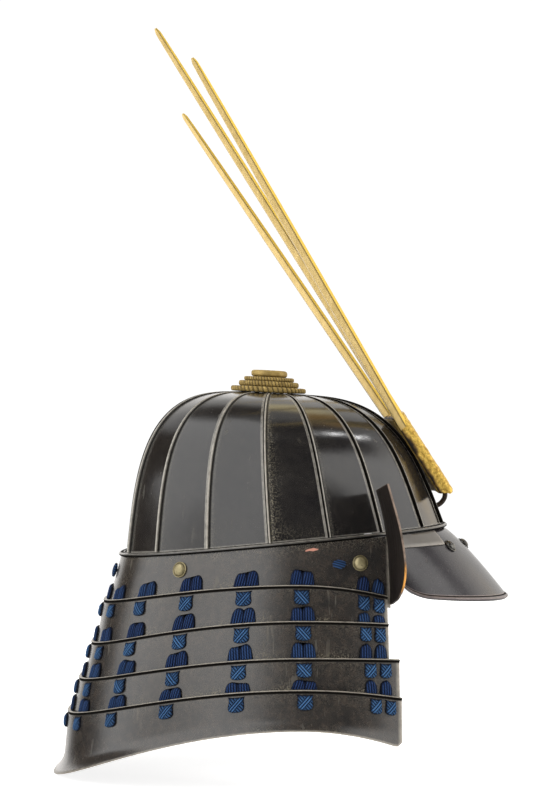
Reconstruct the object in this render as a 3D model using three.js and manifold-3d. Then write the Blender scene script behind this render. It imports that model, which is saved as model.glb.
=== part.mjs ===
// Samurai helmet: a bowl of sixteen ribbed iron plates with a stepped finial, a visor, a laced neck guard of five
// lames with turned-back flaps, and a three-pronged gilt crest on a hook.
// Millimetres, +Z up, +X the helmet's front, +Y the wearer's left. The origin is on the finial's axis at the top of
// the bowl's hollow, where the crown of the head seats.

import * as THREE from "three";
import { mergeVertices } from "three/addons/utils/BufferGeometryUtils.js";
import Module from "manifold-3d";

// General sizes
const GAP = 0.3;
const NEAR_GAP = 0.4;
const IRON = 1.8;
const LAME_IRON = 1.5;
const DEG = Math.PI / 180;

// Bowl: stacked ellipses between the rim and the crown, each profile a superellipse that leans inwards
const CROWN_Z = 0.85;
const CROWN_TILT = 0.054;
const CROWN_HOLE_RADIUS = 17;
const BOWL = {
  back: { reach: 105, power: 3.5, lean: 0.13 },
  front: { reach: 126, power: 4.0, lean: 0.275 },
  side: { reach: 101.5, power: 3.0, lean: 0 },
};
const RIM = { level: -106, slope: 0.09, arch: 2.6 };
const PLATE_FOOT = 2.8;
const RIB_ANGLES = [17, 37.5, 60, 82, 102.5, 122.5, 144, 165.5];
const RIB = { height: 2.4, thickness: 1.5, crownHeight: 0.3, fadeFrom: 100, fadeTo: 27 };
const PLATE_STEPS = 9;

// Bands at the rim
const RIM_BAND = { lip: 2.4, height: 2.5, segments: 48 };
const WAIST_BAND = { outer: -1.8, thickness: 1.5, height: 20, endAngle: 126, segments: 24 };

// Finial tiers, from the bowl upwards: outer radius, height and how far the edge rounds
const FINIAL_HOLE_RADIUS = 8;
const FINIAL_TIERS = [
  { name: "finial_base", radius: 27, height: 3.6, round: 1.4 },
  { name: "finial_ring_lower", radius: 21.6, height: 3.7, round: 1.4 },
  { name: "finial_ring_upper", radius: 18, height: 2.7, round: 1.1 },
  { name: "finial_collar", radius: 13, height: 4.6, round: 2.0 },
];

// Visor: from under the rim band to an outer edge that is an ellipse in plan
const VISOR = {
  halfAngle: 51,
  centreX: 85,
  reachX: 87.3,
  reachY: 92,
  tipZ: -145.2,
  sideRise: 7,
  droop: 1.2,
  cornerStart: 0.84,
  cornerEnd: 0.78,
  lip: 0.9,
  segments: 18,
};
const VISOR_RIVETS = [
  { name: "visor_rivet_right", turn: 25, along: 0.3 },
  { name: "visor_rivet_front", turn: 0, along: 0.33 },
  { name: "visor_rivet_left", turn: -25, along: 0.3 },
];
const VISOR_STRIP = { from: 0.56, to: 0.97, height: 11, thickness: 1.2, segments: 5 };

// Neck guard. Heights of each top edge at the back, side and front end, the front ends, the foremost lacing column,
// and how far each lame spreads downwards
const GUARD = { centreX: 11, frontReach: 150, back: 116.8, side: 102.3, gap: 2.0, hidden: 8 };
const LAMES = [
  { name: "lame_1", back: 0, side: 0, front: 0, frontX: 77.5, laceX: 68.5, spread: { back: 9.9, side: 6.4 } },
  { name: "lame_2", back: -146.2, side: -128.7, front: -137.2, frontX: 75, laceX: 68.5, spread: { back: 6.8, side: 5.3 } },
  { name: "lame_3", back: -176.1, side: -152.2, front: -155.2, frontX: 75, laceX: 69, spread: { back: 6.6, side: 5.4 } },
  { name: "lame_4", back: -201.3, side: -176.2, front: -179, frontX: 82, laceX: 72, spread: { back: 5.3, side: 4.1 } },
  { name: "lame_5", back: -225.1, side: -196.5, front: -204.1, frontX: 83, laceX: 75, spread: { back: 4.0, side: 2.4 } },
];
const HEM = { back: -269.7, side: -223.5, front: -238, flareBack: 7, flareSide: 2.5, flareFrom: 0.68, corner: 4 };

// Turned-back flaps: heights and places of the root and the tip at rows from the top down
const FLAP_ROWS = [
  { rootZ: -66, tipZ: -60, width: 40, rootX: 68.2, tipX: 71.4 },
  { rootZ: -77, tipZ: -74, width: 44, rootX: 71.2, tipX: 75.0 },
  { rootZ: -91, tipZ: -90, width: 46, rootX: 74.2, tipX: 79.0 },
  { rootZ: -104, tipZ: -104, width: 46.5, rootX: 75.8, tipX: 81.4 },
  { rootZ: -118, tipZ: -118, width: 45, rootX: 76.4, tipX: 82.2 },
  { rootZ: -129, tipZ: -129, width: 38, rootX: 76.7, tipX: 81.4 },
  { rootZ: -137, tipZ: -137, width: 26, rootX: 76.8, tipX: 79.6 },
  { rootZ: -143.5, tipZ: -142, width: 8, rootX: 76.9, tipX: 77.8 },
];
const FLAP_STEPS = 4;

// Lacing: columns by angle from the back, then a close pair of columns near each lame's front end
const LACE_ANGLES = [0, 19, 37.4, 56.3, 75, 92];
const LACE_PAIR_SPACING = 10.4;
const LACE = {
  pairHalf: 8.0,
  knotHalf: 5.3,
  endPairHalf: 4.8,
  endKnotHalf: 4.3,
  padThickness: 2.6,
  strand: 1.0,
  knotTop: 2.2,
  knotBottom: 12.2,
  pairHeight: 10.2,
  slotHeight: 2.6,
  facetMargin: 0.5,
};

// Rivets and knots on the top lame
const LAME_RIVETS = [
  { name: "lame_rivet_right_back", angle: 50.5, depth: 9.8 },
  { name: "lame_rivet_right_front", angle: 107.6, depth: 16 },
  { name: "lame_rivet_left_back", angle: -50.5, depth: 9.8 },
  { name: "lame_rivet_left_front", angle: -107.6, depth: 16 },
];
const LAME_KNOTS = [
  { name: "side_knot_right", angle: 101.8, depth: 15.4, width: 9.6, height: 6.2 },
  { name: "side_knot_left", angle: -101.8, depth: 15.4, width: 9.6, height: 6.2 },
  { name: "back_knot", angle: 0, depth: 10.6, width: 8.6, height: 10.5 },
];
const RIVET = { headRadius: 4.9, headHeight: 3.0, shankRadius: 1.4 };
const VISOR_RIVET = { headRadius: 4.2, headHeight: 2.8, shankRadius: 1.4 };

// Crest: axis of the centre prong, leaning back; the prongs fan out from one point below the base
const CREST = {
  footX: 126.8,
  footZ: -67.4,
  lean: 32.25,
  baseHeight: 64,
  baseHalfWidth: 31,
  baseTopFront: -3.4,
  baseFootFront: -4.1,
  baseFootDrop: 3.4,
  baseRear: 7,
  frontRadius: 220,
  rearRadius: 400,
  bowlClearance: 3,
  rootBelowFoot: 9.4,
  socketDepth: 14,
  sideAngle: 22.7,
  sideSetBack: 3.6,
  centreLength: 399.4,
  sideLength: 380.5,
  depth: 6.7,
  tipDepth: 3.2,
  halfWidth: 4.2,
  tipHalfWidth: 1.1,
};
const HOOK = { radius: 1.8, insideBase: 12 };

// Looks
const LACQUER = { color: 0x26252a, roughness: 0.28, metalness: 0.35 };
const AGED_BRASS = { color: 0x7d6b3c, roughness: 0.5, metalness: 0.85 };
const GILT = { color: 0xc9a24a, roughness: 0.38, metalness: 0.8 };
const BARE_IRON = { color: 0x2f2c2a, roughness: 0.55, metalness: 0.6 };
const INDIGO = { color: 0x1f3f78, roughness: 0.85, metalness: 0 };

const wasm = await Module();
wasm.setup();

// Solids and meshes

function solidOf(geometry) {
  const source = geometry.index ? geometry.toNonIndexed() : geometry;
  const bare = new THREE.BufferGeometry();
  bare.setAttribute("position", source.getAttribute("position").clone());
  const merged = mergeVertices(bare, 1e-4);
  return new wasm.Manifold(
    new wasm.Mesh({
      numProp: 3,
      vertProperties: new Float32Array(merged.getAttribute("position").array),
      triVerts: new Uint32Array(merged.index.array),
    }),
  );
}

function geometryOf(solid) {
  const mesh = solid.getMesh();
  const geometry = new THREE.BufferGeometry();
  const positions = new Float32Array(mesh.numVert * 3);
  for (let i = 0; i < mesh.numVert; i++) {
    const start = i * mesh.numProp;
    positions.set(mesh.vertProperties.subarray(start, start + 3), i * 3);
  }
  geometry.setAttribute("position", new THREE.BufferAttribute(positions, 3));
  geometry.setIndex(new THREE.BufferAttribute(new Uint32Array(mesh.triVerts), 1));
  return geometry.toNonIndexed();
}

function signedVolume(points, triangles) {
  let sum = 0;
  for (const [a, b, c] of triangles) {
    sum += points[a].dot(new THREE.Vector3().crossVectors(points[b], points[c]));
  }
  return sum / 6;
}

// Triangles that close a loop of an even number of points whose two halves run side by side
function stripCap(count) {
  const triangles = [];
  for (let j = 0; j < count / 2 - 1; j++) {
    triangles.push([j, j + 1, count - 2 - j], [j, count - 2 - j, count - 1 - j]);
  }
  return triangles;
}

// Triangles that fill a flat outline and turn the same way as it does
function outlineCap(contour) {
  const triangles = THREE.ShapeUtils.triangulateShape(contour, []);
  const covered = triangles.reduce((sum, corners) => sum + THREE.ShapeUtils.area(corners.map((i) => contour[i])), 0);
  return covered * THREE.ShapeUtils.area(contour) > 0 ? triangles : triangles.map((corners) => corners.reverse());
}

// A solid through a row of loops with equal numbers of points, closed at its ends or round on itself
function loft(loops, { round = false, cap = null } = {}) {
  const count = loops[0].length;
  const points = loops.flat();
  const triangles = [];
  const spans = round ? loops.length : loops.length - 1;
  for (let i = 0; i < spans; i++) {
    const here = i * count;
    const there = ((i + 1) % loops.length) * count;
    for (let j = 0; j < count; j++) {
      const next = (j + 1) % count;
      triangles.push([here + j, there + j, there + next], [here + j, there + next, here + next]);
    }
  }
  if (!round) {
    const last = (loops.length - 1) * count;
    for (const [a, b, c] of cap ?? stripCap(count)) {
      triangles.push([a, b, c], [last + a, last + c, last + b]);
    }
  }
  if (signedVolume(points, triangles) < 0) {
    triangles.forEach((triangle) => triangle.reverse());
  }
  const geometry = new THREE.BufferGeometry();
  const positions = points.flatMap((point) => [point.x, point.y, point.z]);
  geometry.setAttribute("position", new THREE.Float32BufferAttribute(positions, 3));
  geometry.setIndex(triangles.flat());
  return geometry;
}

const helmet = new THREE.Group();

function addMesh(name, shape, look, parent = helmet) {
  const geometry = shape.isBufferGeometry ? shape : geometryOf(shape);
  geometry.computeVertexNormals();
  const mesh = new THREE.Mesh(geometry, new THREE.MeshStandardMaterial(look));
  mesh.name = name;
  parent.add(mesh);
  return mesh;
}

// Bowl surface

function profile({ reach, power, lean }, level) {
  return reach * Math.pow(Math.max(1 - Math.pow(level, power), 0), 1 / power) * (1 - lean * level);
}

const RIM_PLAN = {
  half: (BOWL.front.reach + BOWL.back.reach) / 2,
  centre: (BOWL.front.reach - BOWL.back.reach) / 2,
};

function rimZ(x, angle) {
  return RIM.level + RIM.slope * x + RIM.arch * Math.sin(angle * DEG) ** 2;
}

// Angle in degrees from the back, positive towards the wearer's right; level from 0 at the rim to 1 at the crown
function bowlAt(angle, level) {
  const front = profile(BOWL.front, level);
  const back = profile(BOWL.back, level);
  const x = (front - back) / 2 - ((front + back) / 2) * Math.cos(angle * DEG);
  const y = -profile(BOWL.side, level) * Math.sin(angle * DEG);
  const { half, centre } = RIM_PLAN;
  const foot = rimZ(centre - half * Math.cos(angle * DEG), angle);
  return new THREE.Vector3(x, y, foot + (CROWN_Z - CROWN_TILT * x - foot) * level);
}

function levelOf(rise) {
  return Math.pow(Math.sin((rise * Math.PI) / 2), 0.75);
}

function bowlNormal(angle, rise) {
  const alongRing = bowlAt(angle + 0.3, levelOf(rise)).sub(bowlAt(angle - 0.3, levelOf(rise)));
  const upwards = bowlAt(angle, levelOf(rise + 0.004)).sub(bowlAt(angle, levelOf(rise - 0.004)));
  const normal = alongRing.cross(upwards).normalize();
  const outwards = normal.z - normal.x * Math.cos(angle * DEG) - normal.y * Math.sin(angle * DEG);
  return outwards < 0 ? normal.negate() : normal;
}

function bowlPoint(angle, rise, offset) {
  return bowlAt(angle, levelOf(rise)).addScaledVector(bowlNormal(angle, rise), offset);
}

// Degrees that carry a point a given distance round the bowl
function bowlDegrees(angle, rise, distance) {
  const step = bowlAt(angle + 0.5, levelOf(rise)).distanceTo(bowlAt(angle - 0.5, levelOf(rise)));
  return distance / step;
}

// Finds where a growing function of a value between two bounds passes zero
function solve(low, high, grows) {
  for (let i = 0; i < 40; i++) {
    const middle = (low + high) / 2;
    if (grows(middle) > 0) {
      high = middle;
    } else {
      low = middle;
    }
  }
  return (low + high) / 2;
}

function riseAtRadius(angle, radius) {
  return solve(0.2, 0.9999, (rise) => {
    const point = bowlAt(angle, levelOf(rise));
    return radius - Math.hypot(point.x, point.y);
  });
}

function riseAtFoot(angle) {
  const foot = bowlAt(angle, 0).z + PLATE_FOOT;
  return solve(0.001, 0.4, (rise) => bowlAt(angle, levelOf(rise)).z - foot);
}

// Height of the bowl's outer face over a point of the plan near the crown
function crownHeight(x, y) {
  const level = solve(0.3, 0.99999, (value) => {
    const front = profile(BOWL.front, value);
    const back = profile(BOWL.back, value);
    return ((x - (front - back) / 2) / ((front + back) / 2)) ** 2 + (y / profile(BOWL.side, value)) ** 2 - 1;
  });
  const foot = RIM.level;
  return foot + (CROWN_Z - CROWN_TILT * x - foot) * level;
}

function ribHeight(point) {
  const radius = Math.hypot(point.x, point.y);
  const share = THREE.MathUtils.clamp((radius - RIB.fadeTo) / (RIB.fadeFrom - RIB.fadeTo), 0, 1);
  return RIB.crownHeight + (RIB.height - RIB.crownHeight) * share;
}

// One bowl plate between two rib angles, with a standing rib along one or both of its edges
function bowlPlate(startAngle, endAngle, ribAtStart, ribAtEnd) {
  const middle = (startAngle + endAngle) / 2;
  const turn = Math.sign(endAngle - startAngle);
  const loops = [];
  for (let i = 0; i <= PLATE_STEPS; i++) {
    const share = i / PLATE_STEPS;
    const riseOf = (angle) => {
      return THREE.MathUtils.lerp(riseAtFoot(angle), riseAtRadius(angle, CROWN_HOLE_RADIUS), share);
    };
    const edge = (angle, distance) => angle + turn * bowlDegrees(angle, riseOf(angle), distance);
    const start = edge(startAngle, GAP / 2);
    const startFoot = edge(startAngle, GAP / 2 + RIB.thickness);
    const end = edge(endAngle, -GAP / 2);
    const endFoot = edge(endAngle, -GAP / 2 - RIB.thickness);
    const outer = [];
    if (ribAtStart) {
      outer.push([start, 1], [startFoot, 1], [startFoot, 0]);
    } else {
      outer.push([start, 0]);
    }
    outer.push([THREE.MathUtils.lerp(startFoot, endFoot, 1 / 3), 0]);
    outer.push([THREE.MathUtils.lerp(startFoot, endFoot, 2 / 3), 0]);
    if (ribAtEnd) {
      outer.push([endFoot, 0], [endFoot, 1], [end, 1]);
    } else {
      outer.push([end, 0]);
    }
    const inner = outer.map(([angle], j) => {
      const nudged = ribAtStart && j === 1 ? (start + startFoot) / 2 : angle;
      return ribAtEnd && j === outer.length - 2 ? (end + endFoot) / 2 : nudged;
    });
    const height = ribHeight(bowlAt(middle, levelOf(riseOf(middle))));
    const outerPoints = outer.map(([angle, rib]) => bowlPoint(angle, riseOf(angle), rib * height));
    const innerPoints = inner.map((angle) => bowlPoint(angle, riseOf(angle), -IRON));
    if (i === 0) {
      outerPoints.forEach((point, j) => point.setZ(bowlAt(outer[j][0], 0).z + PLATE_FOOT));
      innerPoints.forEach((point, j) => point.setZ(bowlAt(inner[j], 0).z + PLATE_FOOT));
    }
    loops.push([...outerPoints, ...innerPoints.reverse()]);
  }
  return solidOf(loft(loops));
}

function bowlPlates() {
  const plates = [];
  const last = RIB_ANGLES.length - 1;
  plates.push(bowlPlate(RIB_ANGLES[last], 360 - RIB_ANGLES[last], true, true));
  for (let i = last; i > 0; i--) {
    plates.push(bowlPlate(RIB_ANGLES[i - 1], RIB_ANGLES[i], true, false));
  }
  plates.push(bowlPlate(-RIB_ANGLES[0], RIB_ANGLES[0], false, false));
  for (let i = 0; i < last; i++) {
    plates.push(bowlPlate(-RIB_ANGLES[i], -RIB_ANGLES[i + 1], true, false));
  }
  return plates;
}

// Plan ellipse of the rim, moved out by an offset, at a height below the rim line
function rimPoint(angle, offset, drop) {
  const { half, centre } = RIM_PLAN;
  const cos = Math.cos(angle * DEG);
  const sin = Math.sin(angle * DEG);
  const x = centre - half * cos;
  const out = new THREE.Vector3(-cos / half, -sin / BOWL.side.reach, 0).normalize();
  return new THREE.Vector3(x, -BOWL.side.reach * sin, rimZ(x, angle) - drop).addScaledVector(out, offset);
}

function bandLoop(angle, outer, inner, top, bottom) {
  return [
    rimPoint(angle, outer, top),
    rimPoint(angle, outer, bottom),
    rimPoint(angle, inner, bottom),
    rimPoint(angle, inner, top),
  ];
}

function rimBand() {
  const loops = [];
  for (let i = 0; i < RIM_BAND.segments; i++) {
    loops.push(bandLoop((i / RIM_BAND.segments) * 360, RIM_BAND.lip, -IRON, -RIM_BAND.height, 0));
  }
  return solidOf(loft(loops, { round: true }));
}

function waistBand() {
  const loops = [];
  const { outer, thickness, height, endAngle, segments } = WAIST_BAND;
  for (let i = 0; i <= segments; i++) {
    const angle = THREE.MathUtils.lerp(-endAngle, endAngle, i / segments);
    loops.push(bandLoop(angle, outer, outer - thickness, GAP, height));
  }
  return solidOf(loft(loops));
}

// Finial

function finialBase(tier, floorZ) {
  const loops = [];
  const segments = 24;
  for (let i = 0; i < segments; i++) {
    const angle = (i / segments) * 2 * Math.PI;
    const at = (radius, z) => new THREE.Vector3(radius * Math.cos(angle), radius * Math.sin(angle), z);
    const seat = (radius) => {
      const point = at(radius, 0);
      return crownHeight(point.x, point.y) + RIB.crownHeight + NEAR_GAP;
    };
    const tilt = (radius) => -CROWN_TILT * radius * Math.cos(angle);
    const top = (radius) => floorZ + tier.height + tilt(radius);
    const rounded = tier.radius - tier.round;
    loops.push([
      at(FINIAL_HOLE_RADIUS + 10, top(FINIAL_HOLE_RADIUS + 10)),
      at(rounded, top(rounded)),
      at(tier.radius, top(tier.radius) - tier.round),
      at(tier.radius, seat(tier.radius) + tier.round / 2),
      at(rounded, seat(rounded)),
      at((rounded + CROWN_HOLE_RADIUS) / 2, seat((rounded + CROWN_HOLE_RADIUS) / 2)),
      at(CROWN_HOLE_RADIUS - 0.6, seat(CROWN_HOLE_RADIUS - 0.6)),
      at(FINIAL_HOLE_RADIUS, seat(CROWN_HOLE_RADIUS - 0.6)),
      at(FINIAL_HOLE_RADIUS, top(FINIAL_HOLE_RADIUS)),
    ]);
  }
  return solidOf(loft(loops, { round: true }));
}

function finialRing(tier, floorZ) {
  const outer = tier.radius;
  const rounded = outer - tier.round;
  const points = [
    [FINIAL_HOLE_RADIUS, 0],
    [rounded, 0],
    [outer, tier.round * 0.8],
    [outer, tier.height - tier.round],
    [rounded, tier.height],
    [FINIAL_HOLE_RADIUS, tier.height],
    [FINIAL_HOLE_RADIUS, 0],
  ];
  const geometry = new THREE.LatheGeometry(points.map(([x, y]) => new THREE.Vector2(x, y)), 24);
  geometry.rotateX(Math.PI / 2);
  geometry.rotateY(Math.atan(CROWN_TILT));
  geometry.translate(CROWN_TILT * floorZ, 0, floorZ);
  return solidOf(geometry);
}

// Neck guard surface

function lameTopZ(k, angle) {
  const x = guardX(k, angle);
  const row = k < LAMES.length ? LAMES[k] : HEM;
  const frontX = LAMES[Math.min(k, LAMES.length - 1)].frontX;
  if (k === 0) {
    return rimZ(x, angle) - NEAR_GAP;
  }
  if (Math.abs(angle) <= 90) {
    return row.back + (row.side - row.back) * Math.sin(angle * DEG) ** 2;
  }
  const forward = (x - GUARD.centreX) / (frontX - GUARD.centreX);
  return row.side + (row.front - row.side) * forward ** 2;
}

function lameBottomZ(k, angle) {
  const hem = lameTopZ(k + 1, angle);
  return k === LAMES.length - 1 ? hem : hem - GUARD.hidden;
}

function guardX(k, angle) {
  const reach = Math.abs(angle) <= 90 ? guardReach(Math.min(k, LAMES.length - 1)).back : GUARD.frontReach;
  return GUARD.centreX - reach * Math.cos(angle * DEG);
}

// Half-lengths of a lame's top edge: each lame stands outside the one above by its iron and the gap for the lacing
function guardReach(k) {
  let back = GUARD.back;
  let side = GUARD.side;
  for (let i = 0; i < k; i++) {
    const overlapBack = GUARD.hidden / (LAMES[i + 1].back - hemRow(i + 1).back + lowerHidden(i + 1));
    const overlapSide = GUARD.hidden / (LAMES[i + 1].side - hemRow(i + 1).side + lowerHidden(i + 1));
    back += LAMES[i].spread.back + LAME_IRON + GUARD.gap - LAMES[i + 1].spread.back * overlapBack;
    side += LAMES[i].spread.side + LAME_IRON + GUARD.gap - LAMES[i + 1].spread.side * overlapSide;
  }
  return { back, side };
}

function hemRow(k) {
  return k + 1 < LAMES.length ? LAMES[k + 1] : HEM;
}

function lowerHidden(k) {
  return k + 1 < LAMES.length ? GUARD.hidden : 0;
}

// Point of a lame: share runs from its top edge to its bottom edge, offset is outwards from its outer face
function lameAt(k, angle, share, offset) {
  const lame = LAMES[k];
  const reach = guardReach(k);
  const cos = Math.cos(angle * DEG);
  const sin = Math.sin(angle * DEG);
  let spreadBack = reach.back + lame.spread.back * share;
  let spreadSide = reach.side + lame.spread.side * share;
  if (k === LAMES.length - 1) {
    const flare = Math.max(share - HEM.flareFrom, 0) / (1 - HEM.flareFrom);
    spreadBack += HEM.flareBack * flare ** 2;
    spreadSide += HEM.flareSide * flare ** 2;
  }
  const along = cos >= 0 ? spreadBack : GUARD.frontReach;
  const out = new THREE.Vector3(-cos / along, -sin / spreadSide, 0).normalize();
  const top = lameTopZ(k, angle);
  const z = top + (lameBottomZ(k, angle) - top) * share;
  return new THREE.Vector3(GUARD.centreX - along * cos, -spreadSide * sin, z).addScaledVector(out, offset);
}

function lameHeight(k, angle) {
  return lameTopZ(k, angle) - lameBottomZ(k, angle);
}

// Point of a lame by its depth below the top edge, or above the next lame's edge where the depth is negative
function lameDepth(k, angle, depth, offset) {
  const below = depth < 0 ? lameHeight(k, angle) - GUARD.hidden + depth : depth;
  return lameAt(k, angle, below / lameHeight(k, angle), offset);
}

function lameNormal(k, angle, depth) {
  const around = lameDepth(k, angle + 0.5, depth, 0).sub(lameDepth(k, angle - 0.5, depth, 0));
  const down = lameDepth(k, angle, depth + 1, 0).sub(lameDepth(k, angle, depth, 0));
  return down.cross(around).normalize();
}

function angleAtX(x) {
  return Math.acos((GUARD.centreX - x) / GUARD.frontReach) / DEG;
}

function lameEndAngle(k) {
  return angleAtX(LAMES[k].frontX);
}

// Degrees that carry a point a given distance round a lame
function lameDegrees(k, angle, distance) {
  return distance / lameAt(k, angle + 0.5, 0.5, 0).distanceTo(lameAt(k, angle - 0.5, 0.5, 0));
}

// Angles of the lacing columns on one lame, from the back to the wearer's right
function laceAnglesOn(k) {
  return [...LACE_ANGLES, angleAtX(LAMES[k].laceX - LACE_PAIR_SPACING), angleAtX(LAMES[k].laceX)];
}

// Half-widths of one column's pads
function laceWidths(column) {
  if (column < LACE_ANGLES.length) {
    return { pair: LACE.pairHalf, knot: LACE.knotHalf };
  }
  return { pair: LACE.endPairHalf, knot: LACE.endKnotHalf };
}

function lameDivisions(k) {
  const end = lameEndAngle(k);
  const half = [];
  laceAnglesOn(k).forEach((angle, column) => {
    const width = lameDegrees(k, angle, laceWidths(column).pair + LACE.facetMargin);
    half.push(angle - width, angle + width);
  });
  const sorted = half.filter((angle) => angle > 0).sort((a, b) => a - b);
  const cleaned = [];
  for (const angle of sorted) {
    const before = cleaned.length ? cleaned[cleaned.length - 1] : -angle;
    if (angle - before > 0.6 && angle < end - 0.3) {
      cleaned.push(angle);
    }
  }
  cleaned.push(end);
  return [...cleaned.map((angle) => -angle).reverse(), ...cleaned];
}

function lameBand(k) {
  const rows = k === LAMES.length - 1 ? [0, HEM.flareFrom, 0.84, 1] : [0, 1];
  const divisions = lameDivisions(k);
  const loops = divisions.map((angle, i) => {
    const atEnd = i === 0 || i === divisions.length - 1;
    const cut = k === LAMES.length - 1 && atEnd ? 1 - HEM.corner / lameHeight(k, angle) : 1;
    const outer = rows.map((share) => lameAt(k, angle, share * cut, 0));
    const inner = rows.map((share) => lameAt(k, angle, share * cut, -LAME_IRON));
    return [...outer, ...inner.reverse()];
  });
  return solidOf(loft(loops));
}

// Turned-back flap on one side: hand is -1 on the wearer's right
function flap(hand) {
  const loops = FLAP_ROWS.map((row) => {
    const below = lameTopZ(0, lameEndAngle(0)) - row.rootZ;
    const share = THREE.MathUtils.clamp(below / lameHeight(0, lameEndAngle(0)), 0, 1);
    const root = -lameAt(0, lameEndAngle(0), share, -LAME_IRON / 2).y;
    const line = [];
    for (let i = 0; i <= FLAP_STEPS; i++) {
      const part = i / FLAP_STEPS;
      const x = THREE.MathUtils.lerp(row.rootX, row.tipX, part ** 1.2);
      const z = THREE.MathUtils.lerp(row.rootZ, row.tipZ, part);
      line.push(new THREE.Vector3(x, hand * (root + row.width * part), z));
    }
    const front = line.map((point) => point.clone().add(new THREE.Vector3(LAME_IRON, 0, 0)));
    return [...line, ...front.reverse()];
  });
  return solidOf(loft(loops));
}

// Lacing

// Height of the pair's pad, which is lower where a lame shows little height below its knot
function pairHeight(k, angle) {
  const free = lameHeight(k, angle) - GUARD.hidden - LACE.knotBottom - 0.9;
  return k > 0 ? Math.min(LACE.pairHeight, free) : LACE.pairHeight;
}

// Outline of one lacing column in side view, as rows of lame, depth, offset from the lame's face and pad:
// it runs inside each lame, out through a slot over the lower part, down behind the next lame's edge, and out
// through that lame as a knot
function laceOutline(angles) {
  const inside = -LAME_IRON - NEAR_GAP;
  const deep = inside - LACE.strand;
  const outside = GAP;
  const proud = GAP + LACE.padThickness;
  const front = [];
  const rear = [];
  const lastLame = LAMES.length - 1;
  for (let k = 0; k <= lastLame; k++) {
    const slotBottom = LACE.knotTop + LACE.slotHeight;
    if (k > 0) {
      front.push([k, LACE.knotTop, inside, "knot"], [k, LACE.knotTop, proud, "knot"]);
      front.push([k, LACE.knotBottom, proud, "knot"], [k, LACE.knotBottom, outside, "knot"]);
      front.push([k, slotBottom, outside, "knot"], [k, slotBottom, inside, "knot"]);
    }
    if (k === lastLame) {
      front.push([k, slotBottom + 5, inside, "knot"]);
      rear.push([k, slotBottom + 5, deep, "knot"]);
    } else {
      const top = -pairHeight(k, angles[k]);
      if (k === 0) {
        front.push([k, top - 2, inside, "pair"]);
        rear.push([k, top - 2, deep, "pair"]);
      }
      front.push([k, top, inside, "pair"], [k, top, proud, "pair"]);
      front.push([k, -NEAR_GAP, proud, "pair"], [k, -NEAR_GAP, outside + LACE.strand, "pair"]);
      rear.push([k, top + LACE.slotHeight, deep, "pair"], [k, top + LACE.slotHeight, outside, "pair"]);
      rear.push([k, lameHeight(k, angles[k]) + 0.3, outside, "pair"]);
    }
  }
  return [...front, ...rear.reverse()];
}

function laceColumn(angles, widths) {
  const outline = laceOutline(angles);
  const sides = [-1, 1].map((side) =>
    outline.map(([k, depth, offset, pad]) => {
      const angle = angles[k] + side * lameDegrees(k, angles[k], widths[pad]);
      return lameDepth(k, angle, depth, offset);
    }),
  );
  const origin = lameAt(0, angles[0], 0, 0);
  const out = lameAt(0, angles[0], 0, 1).sub(origin);
  const contour = outline.map(([k, depth, offset]) => {
    const point = lameDepth(k, angles[k], depth, offset).sub(origin);
    return new THREE.Vector2(point.dot(out), point.z);
  });
  return solidOf(loft(sides, { cap: outlineCap(contour) }));
}

// Slanted box through a lame for a strand of a given half-width
function slotThrough(k, angle, top, bottom, halfWidth) {
  const half = lameDegrees(k, angle, halfWidth + GAP);
  const middle = (top + bottom) / 2;
  const start = lameDepth(k, angle - half, middle, -LAME_IRON / 2);
  const end = lameDepth(k, angle + half, middle, -LAME_IRON / 2);
  const down = lameDepth(k, angle, bottom, 0).sub(lameDepth(k, angle, top, 0));
  const through = lameDepth(k, angle, middle, 1).sub(lameDepth(k, angle, middle, -LAME_IRON - 1));
  const matrix = new THREE.Matrix4().makeBasis(start.clone().sub(end), down, through);
  matrix.setPosition(start.add(end).multiplyScalar(0.5));
  return solidOf(new THREE.BoxGeometry(1, 1, 1).applyMatrix4(matrix));
}

function laceSlots(k) {
  const slots = [];
  laceAnglesOn(k).forEach((columnAngle, column) => {
    const widths = laceWidths(column);
    for (const angle of column === 0 ? [0] : [columnAngle, -columnAngle]) {
      if (k > 0) {
        slots.push(slotThrough(k, angle, LACE.knotTop - GAP, LACE.knotTop + LACE.slotHeight + GAP, widths.knot));
      }
      if (k < LAMES.length - 1) {
        const top = -pairHeight(k, angle);
        slots.push(slotThrough(k, angle, top - GAP, top + LACE.slotHeight + GAP, widths.pair));
      }
    }
  });
  return slots;
}

// Rivets and knots stand along the outward direction at a point

// Moves a solid to a point, with its Z along a direction, its X level and its Y upwards
function placeAlong(solid, point, direction) {
  const out = direction.clone().normalize();
  const level = new THREE.Vector3(0, 0, 1).cross(out).normalize();
  const matrix = new THREE.Matrix4().makeBasis(level, out.clone().cross(level), out).setPosition(point);
  return solidOf(geometryOf(solid).applyMatrix4(matrix));
}

function domeProfile({ headRadius, headHeight, shankRadius }, shankLength) {
  const points = [new THREE.Vector2(0, -shankLength), new THREE.Vector2(shankRadius, -shankLength)];
  points.push(new THREE.Vector2(shankRadius, GAP));
  for (let i = 0; i <= 3; i++) {
    const angle = (i / 3) * 90 * DEG;
    points.push(new THREE.Vector2(i === 3 ? 0 : headRadius * Math.cos(angle), GAP + headHeight * Math.sin(angle)));
  }
  return points;
}

function domedRivet(sizes, shankLength) {
  return solidOf(new THREE.LatheGeometry(domeProfile(sizes, shankLength), 10).rotateX(Math.PI / 2));
}

function shankHole(radius, length) {
  return solidOf(new THREE.CylinderGeometry(radius + GAP, radius + GAP, length, 8).rotateX(Math.PI / 2));
}

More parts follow.
